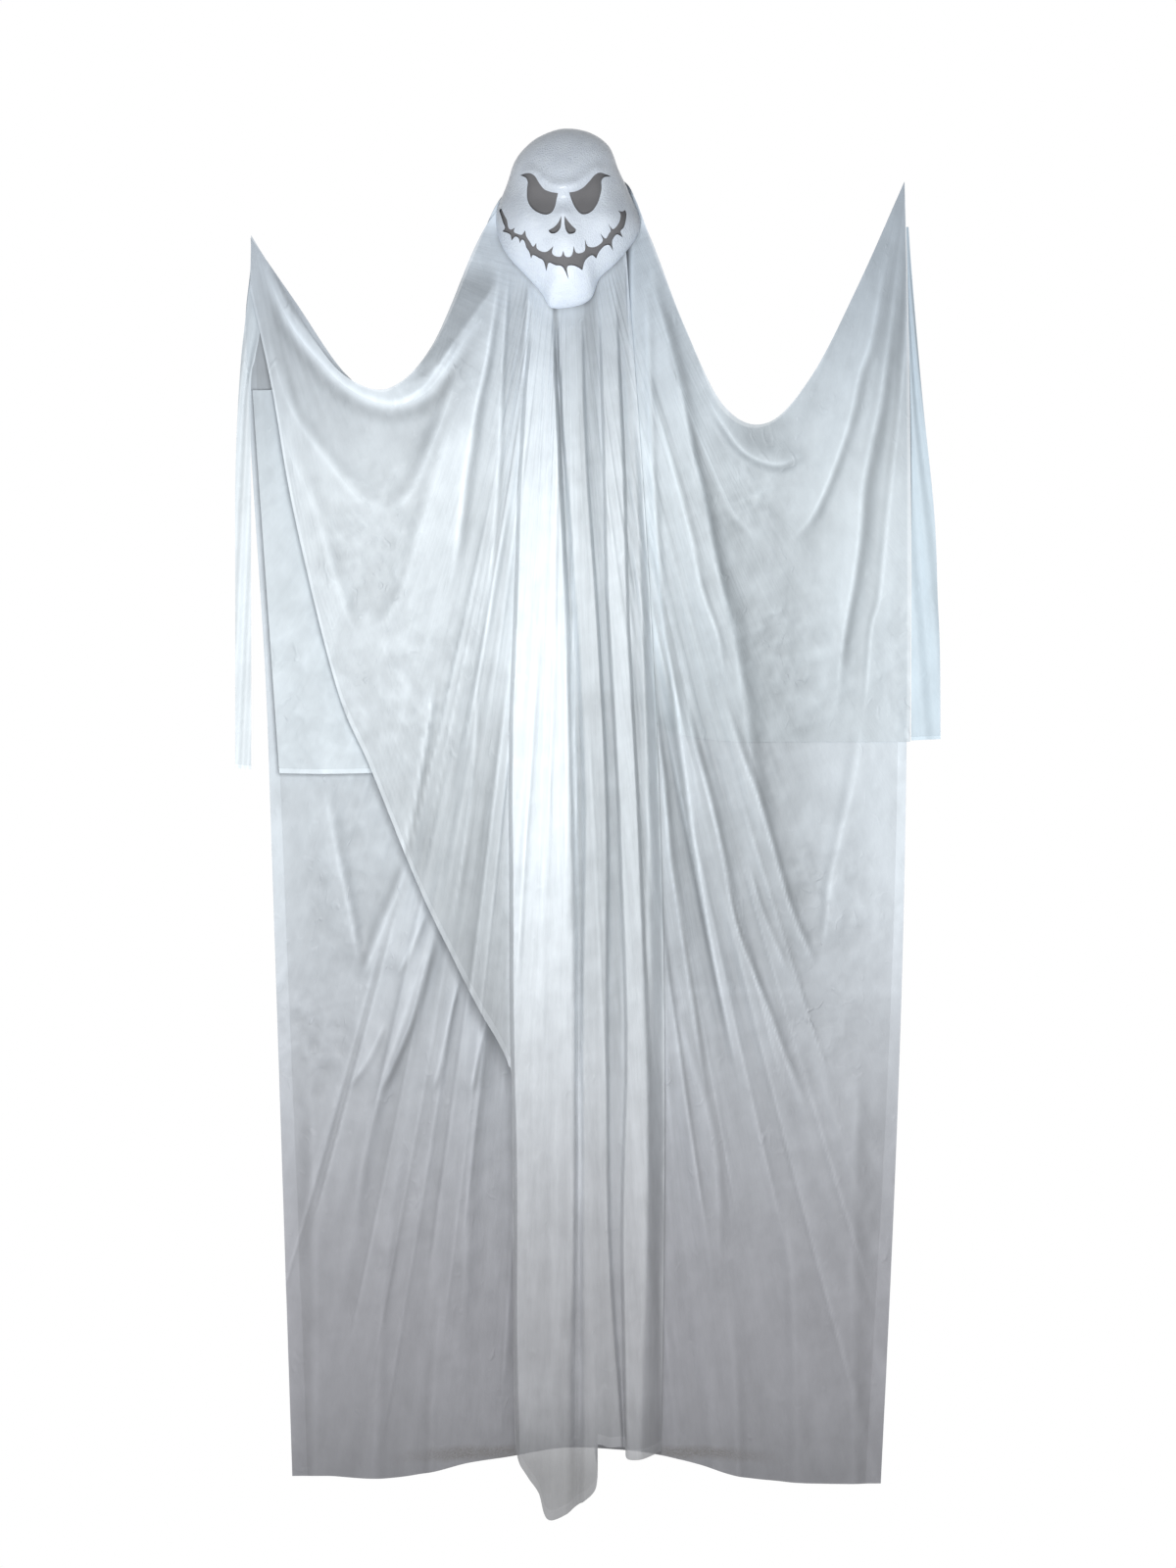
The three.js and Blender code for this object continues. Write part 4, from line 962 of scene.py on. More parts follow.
def cape_shape(x, drop, across):
    """Depth and whiteness of the cape, which hangs over the folds of the back sheet."""
    open_here = opening(x, drop)
    folds, white = folds_at(back_folds + cape_folds, x, drop)
    pleats, pleat_white = pleats_at(cape_pleats, x, drop)
    # Painted shade in the pocket under the roll of the right swag
    pocket_shade = np.exp(-((x - 300) / 42) ** 2) * ease(drop, 425, 450) * (1 - ease(drop, 480, 520))
    small, small_white = small_folds(x, drop, 1)
    depth = hanging_depth(x, drop) - layer_step - open_here * folds
    # On the right the hem lies close on the back sheet and hardly shows
    at_hem = ease(x, 60, 140) * ease(drop, cape_hem_drop - 260, cape_hem_drop)
    pleats, pleat_white = pleats * (1 - at_hem), pleat_white * (1 - at_hem)
    depth -= (0.25 + 0.75 * open_here) * (small + 1.5) + open_here * 0.8 * pleats
    depth += at_hem * open_here * (layer_room + 1)
    white += small_white + pleat_white - 0.9 * pocket_shade - 0.25 * at_hem
    white += patches_at(cape_patches, x, drop) - under_jaw(x, drop)
    # Light where the cloth turns in behind the head
    turn = np.exp(-(((np.abs(x - head_aside) - 92) / 6) ** 2))
    white += 1.4 * turn * (1 - ease(drop, 290, 410))
    return depth, white


def back_shape(x, drop, across):
    """The same for the back sheet, whose folds go on those of the cape on the right."""
    near_head = np.exp(-(((x - head_aside) / (1.6 * core_half_width)) ** 4))
    tight = near_head * (1 - ease(drop, head_height, 2 * head_height))
    room = layer_room * (1 - 0.85 * tight)
    folds, white = folds_at(back_folds, x, drop)
    right_folds, right_white = folds_at(cape_folds, x, drop)
    on_right = ease(x, 60, 140)
    small, small_white = small_folds(x, drop, np.where(x > 0, 1, 2))
    depth = hanging_depth(x, drop)
    depth += opening(x, drop) * (room - folds - on_right * right_folds - small)
    white += patches_at(back_patches, x, drop) + on_right * right_white + small_white
    # A press crease from the packing runs across on the right, painted as a highlight
    white += 0.25 * np.exp(-(((drop - 1321) / 7) ** 2)) * ease(x, 90, 170)
    return depth, white


def under_jaw(x, drop):
    """Shade on the cloth where it goes in behind the mask's rim."""
    side, up = x - head_aside, face_middle_drop - drop
    beyond = np.maximum(np.hypot(side, up) / rim_radius(np.arctan2(up, side)) - 1, 0)
    shade = 0.9 * np.exp(-((beyond / 0.035) ** 2)) + 0.15 * np.exp(-((beyond / 0.14) ** 2))
    # Beside the brow the cloth is pulled tight and catches the light instead
    return mixed(-1.4 * np.exp(-((beyond / 0.2) ** 2)), shade, ease(drop, 135, 175))


def front_shape(x, drop, across):
    """The same for the front drape, which lies on the cape and closes round the jaw."""
    open_here = opening(x, drop)
    at_edge = ease(across, 0.9, 1)
    on_cape = cape_shape(x, drop, across)[0] - layer_step
    on_cape -= open_here * layer_room * (1 - 0.85 * at_edge)
    centre = mixed(seam_gap, -4, ease(drop, head_height, 2.2 * head_height))
    to_centre = ease(x, -1.8 * half_head, -0.85 * half_head)
    to_right_edge = ease(across, 0.972, 1) * ease(drop, 190, 330)
    base = mixed(mixed(on_cape, centre, to_centre), on_cape, to_right_edge)
    side, up = x - head_aside, face_middle_drop - drop
    outside_rim = ease(np.hypot(side, up) / rim_radius(np.arctan2(up, side)), 1, 1.25)
    folds, white = folds_at(front_folds, x, drop)
    pleats, pleat_white = pleats_at(front_pleats, x, drop)
    folds, white = folds * (1 - 0.85 * at_edge), white * (1 - 0.6 * at_edge)
    small, small_white = small_folds(x, drop, 3)
    forward = folds + 0.8 * pleats + small
    # Above the roll of the swag the front drape lies single, with painted shade
    roll = np.interp(x, *zip(*swag_roll))
    shade_above_roll = (1 - ease(drop - roll, -30, -16)) * (1 - ease(x, -118, -96)) * ease(drop, 200, 240)
    shade_above_roll *= np.maximum(1 - ease(x, -345, -315), ease(x, -240, -215))
    white += pleat_white + small_white - 1.3 * shade_above_roll - under_jaw(x, drop)
    white += patches_at(front_patches, x, drop)
    # Painted light in the deepest groove, beside the first pleat, below as well
    white += 0.9 * np.exp(-(((x - 17) / 9) ** 4)) * ease(drop, 1100, 1500)
    # The right edge turns back on to the cape, and painted light keeps it as light as the cloth
    # beside it
    white += 0.7 * ease(across, 0.965, 0.985)
    return base - open_here * outside_rim * forward, white


# The rows of a layer lie closer together towards its upper line
row_crowding = 1.4


def flat_place(places):
    """The x and drop, in millimetres, of places in the frame."""
    return places[:, 0] / MM + head_aside, (mask_high.z - places[:, 2]) / MM


def lay_uv(made, columns, rows):
    """A UV map in metres: from the nearer side edge, and up from the lower edge."""
    mesh = made.data
    places = np.empty(3 * len(mesh.vertices))
    mesh.vertices.foreach_get("co", places)
    grid = places.reshape(rows + 1, columns + 1, 3)
    sideways = np.linalg.norm(np.diff(grid, axis=1), axis=2)
    from_left = np.pad(np.cumsum(sideways, axis=1), ((0, 0), (1, 0)))
    from_right = from_left[:, -1:] - from_left
    upward = np.linalg.norm(np.diff(grid, axis=0), axis=2)
    from_low = np.pad(np.cumsum(upward, axis=0), ((1, 0), (0, 0)))
    uv = np.stack([np.minimum(from_left, from_right), from_low], axis=-1).reshape(-1, 2)
    corners = np.empty(len(mesh.loops), int)
    mesh.loops.foreach_get("vertex_index", corners)
    mesh.uv_layers["UVMap"].uv.foreach_set("vector", uv[corners].ravel())
    x, drop = flat_place(places.reshape(-1, 3))
    grain = np.stack([fan_share(x, drop) * MM, drop * MM], axis=-1)
    mesh.uv_layers.new(name="grain").uv.foreach_set("vector", grain[corners].ravel())
    # Each half of the layer follows the arm on its own side
    wrist_place = (np.where(x > 0, *both) for both in zip(*wrists[::-1]))
    turn, far = from_hub(x, drop, *wrist_place)
    arm_grain = np.stack([0.3 * turn, far * MM], axis=-1)
    mesh.uv_layers.new(name="arm_grain").uv.foreach_set("vector", arm_grain[corners].ravel())


def cloth_grid(columns, rows):
    """A flat grid for a layer of cloth, and each vertex's share of the way across and down."""
    bm = bmesh.new()
    bm.loops.layers.uv.new("UVMap")
    bmesh.ops.create_grid(bm, x_segments=columns, y_segments=rows, size=0.5, calc_uvs=True)
    flat = np.array([v.co for v in bm.verts])
    return bm, flat[:, 0] + 0.5, 0.5 - flat[:, 1]


def cloth(name, cells, pairs, shape_at, bow_at, material, node_name):
    """A layer of cloth between its upper line and its hem, whose points come in pairs."""
    bm, across, down = cloth_grid(*cells)
    down = down ** row_crowding
    upper = smooth_line([top for top, _ in pairs])(across)
    lower = smooth_line([hem for _, hem in pairs])(across)
    spot = mixed(upper, lower, down[:, None])
    x, drop = spot[:, 0] + bow_at(across, down), spot[:, 1]
    depth, white = shape_at(x, drop, across)
    move_to(bm, placed(x, depth, drop))
    face_forward(bm)
    made = piece(name, bm, material, stands_for=[node_name])
    lay_uv(made, *cells)
    # The painted light and shade of the layer, with its doubling, for its material
    painted_light_and_doubling = made.data.attributes.new("painted_light_and_doubling", "FLOAT", "POINT")
    painted_light_and_doubling.data.foreach_set("value", np.clip(white, darkest, whitest))
    crumpled = made.data.attributes.new("crumpled", "FLOAT", "POINT")
    crumpled.data.foreach_set("value", crumple_at(x, drop))
    return made


def left(share, drop):
    """A place at a share of the way to the left wrist."""
    return (-share * left_reach, drop)


def right(share, drop):
    """The same towards the right wrist."""
    return (share * right_reach, drop)


# Back sheet
# The full-length layer behind the others, sewn to the hood and to both wrists, with side hems
# and a hem that the ground has smudged.
back_white = cloth_paint("back_white", (0.58, 0.64, 0.69), (0.43, 0.435, 0.475), 0.95,
                         side_hem=0.024, smudge=0.85)


def back_bow(across, down):
    """How far the side edges bow outwards, as a shift in x."""
    right_bow = 20 * ease(across, 0.8, 1) * np.sin(down * math.pi)
    left_bow = 12 * ease(0.1 - across, 0, 0.1) * ease(down, 0.01, 0.07)
    return right_bow - left_bow * (1 - ease(down, 0.12, 0.4))


back = cloth("back_cloth", (300, 320), [
    (left(1.002, left_tip_drop + 3), left(0.873, back_hem_drop)),
    (left(0.863, 262), left(0.759, back_hem_drop)),
    (left(0.701, 374), left(0.665, back_hem_drop + 4)),
    (left(0.574, left_dip_drop + 8), left(0.557, back_hem_drop + 5)),
    (left(0.42, left_dip_drop - 60), left(0.426, back_hem_drop - 4)),
    (left(0.293, 195), left(0.312, back_hem_drop - 17)),
    (left(0.187, 95), left(0.187, back_hem_drop - 26)),
    ((0, 76), (0, back_hem_drop - 40)),
    (right(0.162, 68), right(0.183, back_hem_drop - 36)),
    (right(0.27, 200), right(0.289, back_hem_drop - 28)),
    (right(0.366, 320), right(0.395, back_hem_drop - 15)),
    (right(0.468, right_dip_drop - 17), right(0.505, back_hem_drop + 2)),
    (right(0.597, right_dip_drop + 3), right(0.617, back_hem_drop + 9)),
    (right(0.728, right_dip_drop - 71), right(0.723, back_hem_drop + 12)),
    (right(0.867, 235), right(0.829, back_hem_drop + 12)),
    (right(1, right_tip_drop + 1), right(0.933, back_hem_drop + 11)),
], back_shape, back_bow, back_white, "back_sheet")

# Arm cape
# A shorter layer from wrist to wrist behind the front drape, with a straight hem at the waist.
cape_white = cloth_paint("cape_white", (0.75, 0.83, 0.885), (0.6, 0.62, 0.64), 0.85,
                         low_hem=0.008, low_hem_on_right=0.0)
cape = cloth("cape_cloth", (300, 200), [
    (left(0.996, 400), left(0.912, cape_hem_drop + 48)),
    (left(0.925, 399), left(0.82, cape_hem_drop + 49)),
    (left(0.7, 390), left(0.728, cape_hem_drop + 49)),
    (left(0.561, left_dip_drop + 4), left(0.574, cape_hem_drop + 47)),
    (left(0.42, left_dip_drop - 64), left(0.416, cape_hem_drop + 42)),
    (left(0.293, 200), left(0.27, cape_hem_drop - 8)),
    (left(0.191, 100), left(0.146, cape_hem_drop - 58)),
    ((0, 84), (15, cape_hem_drop - 76)),
    (right(0.162, 76), right(0.193, cape_hem_drop - 72)),
    (right(0.25, 166), right(0.289, cape_hem_drop - 22)),
    (right(0.347, 297), right(0.395, cape_hem_drop - 6)),
    (right(0.468, right_dip_drop - 25), right(0.52, cape_hem_drop)),
    (right(0.597, right_dip_drop), right(0.665, cape_hem_drop)),
    (right(0.728, right_dip_drop - 73), right(0.809, cape_hem_drop)),
    (right(0.867, 235), right(0.925, cape_hem_drop)),
    (right(1, right_tip_drop + 3), right(1.019, cape_hem_drop)),
], cape_shape, lambda across, down: 4 * ease(across, 0.9, 1) * np.sin(down * math.pi),
    cape_white, "arm_cape")

# Front drape
# The layer in front: from the left wrist along a swag to the head, glued round the jaw behind
# the mask, and down the middle in long pleats to one hanging corner.
front_white = cloth_paint("front_white", (0.80, 0.87, 0.92), (0.56, 0.57, 0.60), 0.84,
                          low_hem=0.016, foot_shade=0.58)
head_edge_room = 5


def head_edge(degrees):
    """A place on the drape's glued edge, round the head behind the mask."""
    turn = math.radians(degrees)
    return (
        head_aside + (core_half_width + head_edge_room) * math.cos(turn),
        core_middle_drop - (core_half_height + head_edge_room) * math.sin(turn),
    )


front = cloth("front_cloth", (330, 290), [
    (left(1, left_tip_drop), left(1.004, left_tip_drop + 83)),
    (left(0.915, 230), left(0.932, 400)),
    (left(0.811, 315), left(0.861, 593)),
    (left(0.697, left_dip_drop - 16), left(0.73, 853)),
    (left(0.561, left_dip_drop + 2), left(0.62, 980)),
    (left(0.426, left_dip_drop - 61), left(0.468, 1160)),
    (left(0.293, 187), left(0.343, 1285)),
    ((head_aside - 1.06 * half_head, 135), left(0.266, 1355)),
    (head_edge(172), left(0.218, 1394)),
    (head_edge(190), left(0.183, 1430)),
    (head_edge(205), left(0.17, 1480)),
    (head_edge(220), (-80, 1800)),
    (head_edge(234), (-78, corner_drop - 161)),
    (head_edge(246), (-74, corner_drop - 98)),
    (head_edge(257), (-58, corner_drop - 67)),
    (head_edge(263), (-41, corner_drop - 42)),
    (head_edge(270), (-23, corner_drop)),
    (head_edge(286), (36, corner_drop - 34)),
    (head_edge(300), (49, corner_drop - 64)),
    (head_edge(308), (46, corner_drop - 112)),
    (head_edge(320), (68, corner_drop - 110)),
    (head_edge(329), (90, corner_drop - 110)),
    (head_edge(338), (97, corner_drop - 92)),
    (head_edge(350), (147, corner_drop - 95)),
], front_shape, lambda across, down: 28 * ease(across, 0.8, 1) * np.sin(down * math.pi),
    front_white, "front_drape")

# Cuff strips
# A narrow strip of the same cloth hangs beside each end of the cape, with a slit between.
cuff_white = cloth_paint("cuff_white", (0.80, 0.88, 0.93), (0.6, 0.62, 0.64), 0.9, low_hem=0.006)
# The strip on the right hangs single, and its tint is darker and bluer with painted shade
cuff_in_shade = cloth_paint("cuff_in_shade", (0.66, 0.80, 0.90), (0.5, 0.57, 0.62), 0.9, low_hem=0.006)
cuff_gap = 0.5
cuff_width = 24
cuff_cells = (16, 320)


def cuff(name, outer, inner, node_name, look):
    """A strip of cloth between its two side edges."""
    bm, across, down = cloth_grid(*cuff_cells)
    spot = mixed(smooth_line(outer)(down), smooth_line(inner)(down), across[:, None])
    x, drop = spot[:, 0], spot[:, 1]
    ripple = 1.6 * np.sin(across * 9 + drop / 60) * ease(down, 0.05, 0.3)
    move_to(bm, placed(x, hanging_depth(x, drop) - layer_step - ripple, drop))
    face_forward(bm)
    made = piece(name, bm, look, stands_for=[node_name])
    lay_uv(made, *cuff_cells)
    return made


left_slit = -left_reach - cuff_gap
left_outside = left_slit - cuff_width
cuff("left_cuff_cloth", [
    left(1.001, 215), left(1.02, 297), left(1.033, 356), (left_outside + 3, 450),
    (left_outside, 560), (left_outside, 760), (left_outside, cape_hem_drop + 40),
], [
    left(0.987, 215), left(0.971, 297), left(0.987, 350), (left_slit, 392),
    (left_slit, 560), (left_slit, 760), (left_slit, cape_hem_drop + 42),
], "cuff_strip_left", cuff_white)


def right_slit(drop):
    """A place on the inner edge of the right strip, beside the end of the cape."""
    down = (drop - right_tip_drop) / (cape_hem_drop - right_tip_drop)
    return (right_reach * (1 + 0.019 * down) + 4 * math.sin(down * math.pi) + cuff_gap, drop)


cuff("right_cuff_cloth", [
    right(1.012, 150), right(1.022, 224), right(1.052, 407), right(1.088, 590),
    right(1.098, 719), right(1.104, 800), right(1.106, cape_hem_drop - 4),
], [right_slit(drop) for drop in (150, 224, 407, 590, 719, 800, cape_hem_drop - 2)],
    "cuff_strip_right", cuff_in_shade)

# Hood
# Sheer cloth drawn over the back of the foam head, gathered in fine pleats behind the mask.
hood_white = cloth_paint("hood_white", (0.70, 0.76, 0.82), (0.6, 0.62, 0.64), 0.95)
hood_room = 0.4
hood_pleat = 0.8
bm, turn, share = round_sheet(120)
pleats = 0.5 + 0.5 * np.sin(turn * 60 + 3 * np.sin(turn * 7))
grow = seam_gap + hood_room + hood_pleat * pleats * ease(share, 0.25, 0.9)
move_to(bm, egg(turn, share, core_back, hood_set_back, grow))
hood = piece("hood_cloth", bm, hood_white, stands_for=["hood"])

# Screw eye and washer
# A zinc-plated screw eye in the crown of the foam, with a thread cut on its shank, and a
# stamped washer under it with its burred edges rounded.
zinc, tree, shader = paint("zinc", (0.62, 0.63, 0.64), 0.32, Metallic=1.0)
grain = noise(tree, (500, 500, 500), 3)
tree.links.new(ramp(tree, grain, 0, 1, 0.22, 0.46), shader.inputs["Roughness"])
bump(tree, shader, grain, 0.25, 0.0003)

eye_wire = 1.5
eye_radius = 6
shank_length = 28
washer_radius = 9
washer_thickness = 1.2
washer_edge = 0.3
eye_lift = 2 * touch_gap + washer_thickness + eye_radius + eye_wire
washer_low, washer_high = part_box("crown_washer")
washer_middle = (washer_low + washer_high) / 2
crown_up = -washer_middle.normalized()
crown_turn = Vector((0, 0, 1)).rotation_difference(crown_up).to_matrix()


def tube(path, wire, sides=16, closed=False):
    """A round wire along a path of points, with its ends closed."""
    path = [Vector(p) for p in path]
    count = len(path)
    bm = bmesh.new()
    rings = []
    side = None
    for i, here in enumerate(path):
        before = path[i - 1] if closed or i else here
        after = path[(i + 1) % count] if closed or i + 1 < count else here
        heading = (after - before).normalized()
        if side is None:
            side = heading.orthogonal().normalized()
        side = (side - heading * side.dot(heading)).normalized()
        up = heading.cross(side)
        radius = wire[i] if isinstance(wire, list) else wire
        turns = [2 * math.pi * k / sides for k in range(sides)]
        rings.append([bm.verts.new(here + radius * (side * math.cos(t) + up * math.sin(t)))
                      for t in turns])
    pairs = list(zip(rings, rings[1:]))
    if closed:
        last = rings[-1]
        shift = min(range(sides), key=lambda k: (last[k].co - rings[0][0].co).length)
        pairs.append((last[shift:] + last[:shift], rings[0]))
    for one, two in pairs:
        for k in range(sides):
            bm.faces.new([one[k - 1], one[k], two[k], two[k - 1]])
    if not closed:
        bm.faces.new(rings[0])
        bm.faces.new(rings[-1])
    bmesh.ops.recalc_face_normals(bm, faces=bm.faces)
    return bm


def in_metres(bm):
    """Makes a mesh drawn in millimetres its real size."""
    bmesh.ops.scale(bm, verts=bm.verts, vec=(MM, MM, MM))


# The loop is bent from the shank: it starts at the neck and comes almost full circle
loop_start = math.radians(-90)
loop_turn = math.radians(342)
bend = [Vector((eye_radius * math.cos(loop_start + loop_turn * i / 60), 0,
                eye_radius * math.sin(loop_start + loop_turn * i / 60))) for i in range(61)]
foot = -eye_lift - shank_length
tip_length = 4
tip_radius = 0.15
wire_path = [Vector((0, 0, z)) for z in (foot, foot + tip_length, -eye_radius - 2)] + bend
wire_radius = [tip_radius, eye_wire * 0.8] + [eye_wire] * (len(wire_path) - 2)
loop = tube(wire_path, wire_radius, sides=20)
thread_turns = 12
thread_step = 1.6
thread_wire = 0.45
thread_radius = 0.82 * eye_wire
thread_foot = foot + tip_length + 1
thread = [Vector((thread_radius * math.cos(a), thread_radius * math.sin(a),
                  thread_foot + thread_step * a / (2 * math.pi)))
          for a in np.linspace(0, 2 * math.pi * thread_turns, 24 * thread_turns)]
bm = joined(loop, tube(thread, thread_wire, sides=8))
in_metres(bm)
bmesh.ops.rotate(bm, verts=bm.verts, matrix=crown_turn)
piece("screw_eye", bm, zinc, stands_for=["crown_screw_eye"])

bm = bmesh.new()
profile = [(-0.5, 0.5), (0.5, 0.5), (0.5, -0.5), (-0.5, -0.5)]
middle = (washer_radius + eye_wire + touch_gap) / 2
breadth = washer_radius - eye_wire - touch_gap
corners = [bm.verts.new(((middle + u * breadth), 0, v * washer_thickness)) for u, v in profile]
edges = [bm.edges.new((corners[i - 1], corners[i])) for i in range(4)]
bmesh.ops.spin(bm, geom=corners + edges, axis=(0, 0, 1), cent=(0, 0, 0), angle=2 * math.pi,
               steps=64, use_merge=True)
bmesh.ops.remove_doubles(bm, verts=bm.verts, dist=0.001)
bmesh.ops.recalc_face_normals(bm, faces=bm.faces)
sharp = [edge for edge in bm.edges if edge.calc_face_angle(0) > 1]
bmesh.ops.bevel(bm, geom=sharp, offset=washer_edge, offset_type="OFFSET", affect="EDGES",
                segments=3, profile=0.5, material=-1)
in_metres(bm)
bmesh.ops.rotate(bm, verts=bm.verts, matrix=crown_turn)
bmesh.ops.translate(bm, verts=bm.verts, vec=washer_middle)
piece("crown_washer_disc", bm, zinc, stands_for=["crown_washer"])

# Wrist tabs and rings
# White twill tape, doubled round a clear plastic ring and stitched flat behind each wrist.
tape_white, tree, shader = paint("tape_white", (0.80, 0.81, 0.81), 0.8)
ribs = node(tree, "TexWave", {"Vector": pattern_place(tree, (1, 1, 1)), "Scale": 420,
                              "Distortion": 0.4}, bands_direction="DIAGONAL")
bump(tree, shader, ribs.outputs["Fac"], 0.6, 0.0003)
clear, tree, shader = paint("clear_plastic_ring", (0.93, 0.95, 0.96), 0.12, Alpha=0.6)
shader.inputs["Coat Weight"].default_value = 0.5
bump(tree, shader, noise(tree, (350, 350, 350), 2), 0.2, 0.0003)
thread_white, tree, shader = paint("thread_white", (0.7, 0.71, 0.72), 0.7)
twist = node(tree, "TexWave", {"Vector": pattern_place(tree, (1, 1, 1)), "Scale": 900})
bump(tree, shader, twist.outputs["Fac"], 0.6, 0.0001)

tab_width = 9
tab_tail = 14
tab_wall = 0.6
ring_wire = 0.9
ring_inner_width = 14
ring_inner_height = 11
ring_play = 0.6
channel_radius = ring_wire + ring_play + touch_gap
channel_outer = channel_radius + tab_wall
wrist_depth = tip_depth + cloth_thickness + seam_gap + channel_outer
ring_drop_below_tip = 60
stitch_wire = 0.16
stitch_length = 1.7
stitch_half_width = 3.4
stitch_low, stitch_high = 4.5, 14.5
stitch_rise = 0.2


def bent(start, control, other, end, steps):
    """A curve pulled towards two control points."""
    t = np.linspace(0, 1, steps, endpoint=False)[:, None]
    a, b, c, d = (np.array(p, float) for p in (start, control, other, end))
    return (1 - t)**3 * a + 3 * (1 - t)**2 * t * b + 3 * (1 - t) * t**2 * c + t**3 * d


def ring_path():
    """The D-shaped ring's middle line, as x and height from the channel's middle."""
    half = ring_inner_width / 2 + ring_wire
    foot = -ring_inner_height - 2 * ring_wire
    corner = 0.25 * half
    right_bend = bent((half - corner, 0), (half - corner / 3, 0), (half, -corner / 3),
                      (half, -corner), 8)
    right_side = bent((half, -corner), (half, 0.7 * foot), (0.55 * half, foot), (0, foot), 24)
    half_path = np.vstack([bent((0, 0), (half / 4, 0), (half / 2, 0), (half - corner, 0), 8),
                           right_bend, right_side])
    return np.vstack([half_path, [[0, foot]], half_path[:0:-1] * (-1, 1)])


def wrist(side, x, tip_drop):
    """The ring of one wrist, and the tape that holds it with its stitches."""
    middle = Vector(placed(x, wrist_depth, tip_drop + ring_drop_below_tip))
    path = [Vector((p[0], 0, p[1])) for p in ring_path()]
    bm = tube(path, ring_wire, closed=True)
    in_metres(bm)
    bmesh.ops.translate(bm, verts=bm.verts, vec=middle)
    piece(f"{side}_ring_wire", bm, clear, body=f"{side}_ring",
          stands_for=[f"wrist_ring_{side}"])

    # The tape's section: under the ring from front to back, in above it, and round the tail
    turn = np.linspace(0, math.pi, 17)
    outside = [(-channel_outer * math.cos(a), -channel_outer * math.sin(a)) for a in turn]
    lap = channel_outer + tab_wall
    top = channel_outer + tab_tail
    section = outside + [(0.02, lap * 0.6), (0, lap), (0, top - 0.5), (-0.5, top),
                         (0.5 - channel_outer, top), (-channel_outer, top - 0.5)]
    hole = [(channel_radius * math.cos(a), channel_radius * math.sin(a))
            for a in np.linspace(0, 2 * math.pi, 33)[:-1]]
    bm = bmesh.new()
    loops = []
    for shape in (section, hole):
        verts = [bm.verts.new((-tab_width / 2, y, z)) for y, z in shape]
        edges = [bm.edges.new((verts[i - 1], verts[i])) for i in range(len(verts))]
        loops += edges
    bmesh.ops.triangle_fill(bm, edges=loops, use_beauty=True)
    through = bmesh.ops.extrude_face_region(bm, geom=list(bm.faces))["geom"]
    moved = [g for g in through if isinstance(g, bmesh.types.BMVert)]
    bmesh.ops.translate(bm, verts=moved, vec=(tab_width, 0, 0))
    bmesh.ops.recalc_face_normals(bm, faces=bm.faces)
    in_metres(bm)
    bmesh.ops.translate(bm, verts=bm.verts, vec=middle)
    piece(f"{side}_tape", bm, tape_white, stands_for=[f"wrist_tab_{side}"])

    # Box of lock stitches through the tape and the cloth
    corners = [(-stitch_half_width, stitch_low), (stitch_half_width, stitch_low),
               (stitch_half_width, stitch_high), (-stitch_half_width, stitch_high)]
    stitches = []
    for start, end in zip(corners, corners[1:] + corners[:1]):
        run = Vector(end) - Vector(start)
        count = round(run.length / stitch_length)
        for k in range(count):
            here = Vector(start) + run * (k + 0.15) / count
            there = Vector(start) + run * (k + 0.85) / count
            over = (here + there) / 2
            rising, falling = here.lerp(over, 0.2), there.lerp(over, 0.2)
            path = [(here.x, 0, here.y), (rising.x, 0.8 * stitch_rise, rising.y),
                    (over.x, stitch_rise, over.y),
                    (falling.x, 0.8 * stitch_rise, falling.y), (there.x, 0, there.y)]
            stitches.append(tube(path, stitch_wire, sides=6))
    bm = joined(*stitches)
    in_metres(bm)
    bmesh.ops.translate(bm, verts=bm.verts, vec=middle)
    piece(f"{side}_tape_stitches", bm, thread_white)


left_inset = 14
right_inset = 9
wrist("left", -left_reach + left_inset, left_tip_drop)
wrist("right", right_reach - right_inset, right_tip_drop)

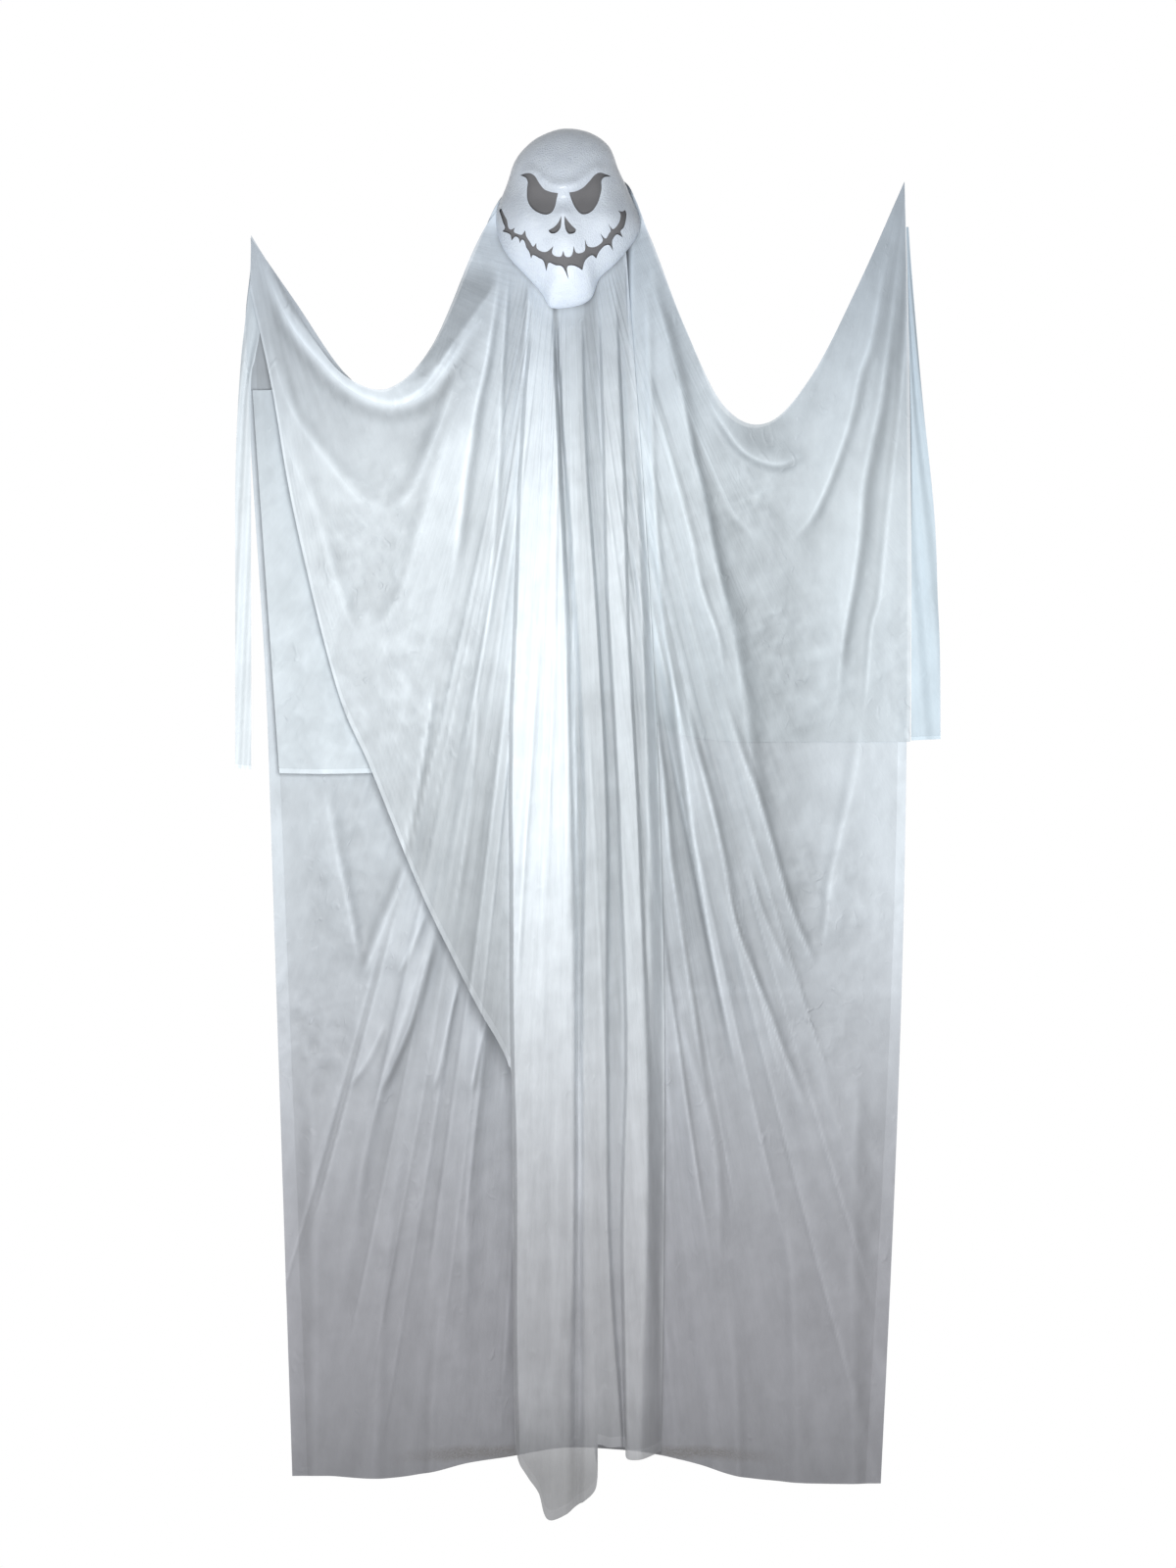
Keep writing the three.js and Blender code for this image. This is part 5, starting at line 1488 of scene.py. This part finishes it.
# Stage
# A plain pale floor below the hanging ghost, an even white all round it, and one soft lamp in
# front. The camera sees the floor only where a shadow can fall.
floor_drop = 0.35
floor_half = 9
floor_level = cad_box[0].z - floor_drop
shadow_reach = 0.55
bm = bmesh.new()
bmesh.ops.create_grid(bm, x_segments=1, y_segments=1, size=floor_half)
bmesh.ops.translate(bm, verts=bm.verts, vec=(0, 0, floor_level))
mesh = bpy.data.meshes.new("floor")
bm.to_mesh(mesh)
bm.free()
floor = bpy.data.objects.new("floor", mesh)
bpy.context.scene.collection.objects.link(floor)
floor_paint, tree, shader = paint("floor_paint", (0.86, 0.86, 0.86), 0.9)
where = node(tree, "TexCoord").outputs["Object"]
level_place = node(tree, "VectorMath", {0: where, 1: (1, 1, 0)}, operation="MULTIPLY").outputs[0]
from_foot = node(tree, "VectorMath", {0: level_place}, operation="LENGTH").outputs["Value"]
beyond = ramp(tree, from_foot, shadow_reach * 0.4, shadow_reach, 0, 1)


def seen_directly(tree):
    """1 for what the camera sees, also in gloss or through glass, and 0 for stray light."""
    rays = node(tree, "LightPath")
    seen = rays.outputs["Is Camera Ray"]
    for kind in ("Is Glossy Ray", "Is Transmission Ray"):
        seen = reckon(tree, "MAXIMUM", seen, rays.outputs[kind])
    return seen


white = node(tree, "Emission", {"Color": (1, 1, 1, 1), "Strength": 1})
cover = node(tree, "MixShader", {
    "Fac": reckon(tree, "MULTIPLY", beyond, seen_directly(tree)),
    1: shader.outputs[0], 2: white.outputs[0],
})
tree.links.new(cover.outputs[0], tree.nodes["Material Output"].inputs["Surface"])
mesh.materials.append(floor_paint)

world = bpy.data.worlds.new("studio")
bpy.context.scene.world = world
world.use_nodes = True
tree = world.node_tree
fill_level = 0.25
level = ramp(tree, seen_directly(tree), 0, 1, fill_level, 1)
tree.links.new(level, tree.nodes["Background"].inputs["Strength"])
tree.nodes["Background"].inputs["Color"].default_value = (1, 1, 1, 1)


def softbox(name, place, aim, size, watts):
    """A square lamp that lights an even patch, and isn't seen itself."""
    lamp = bpy.data.lights.new(name, "AREA")
    lamp.shape = "SQUARE"
    lamp.size = size
    lamp.energy = watts
    made = bpy.data.objects.new(name, lamp)
    made.location = place
    made.rotation_euler = (Vector(aim) - Vector(place)).to_track_quat("-Z", "Y").to_euler()
    made.visible_camera = False
    bpy.context.scene.collection.objects.link(made)


softbox("key", place=(-0.12, -1.38, -0.8), aim=(-0.05, 0, -0.8), size=0.6, watts=19)

view = bpy.context.scene.view_settings
view.view_transform = "Standard"
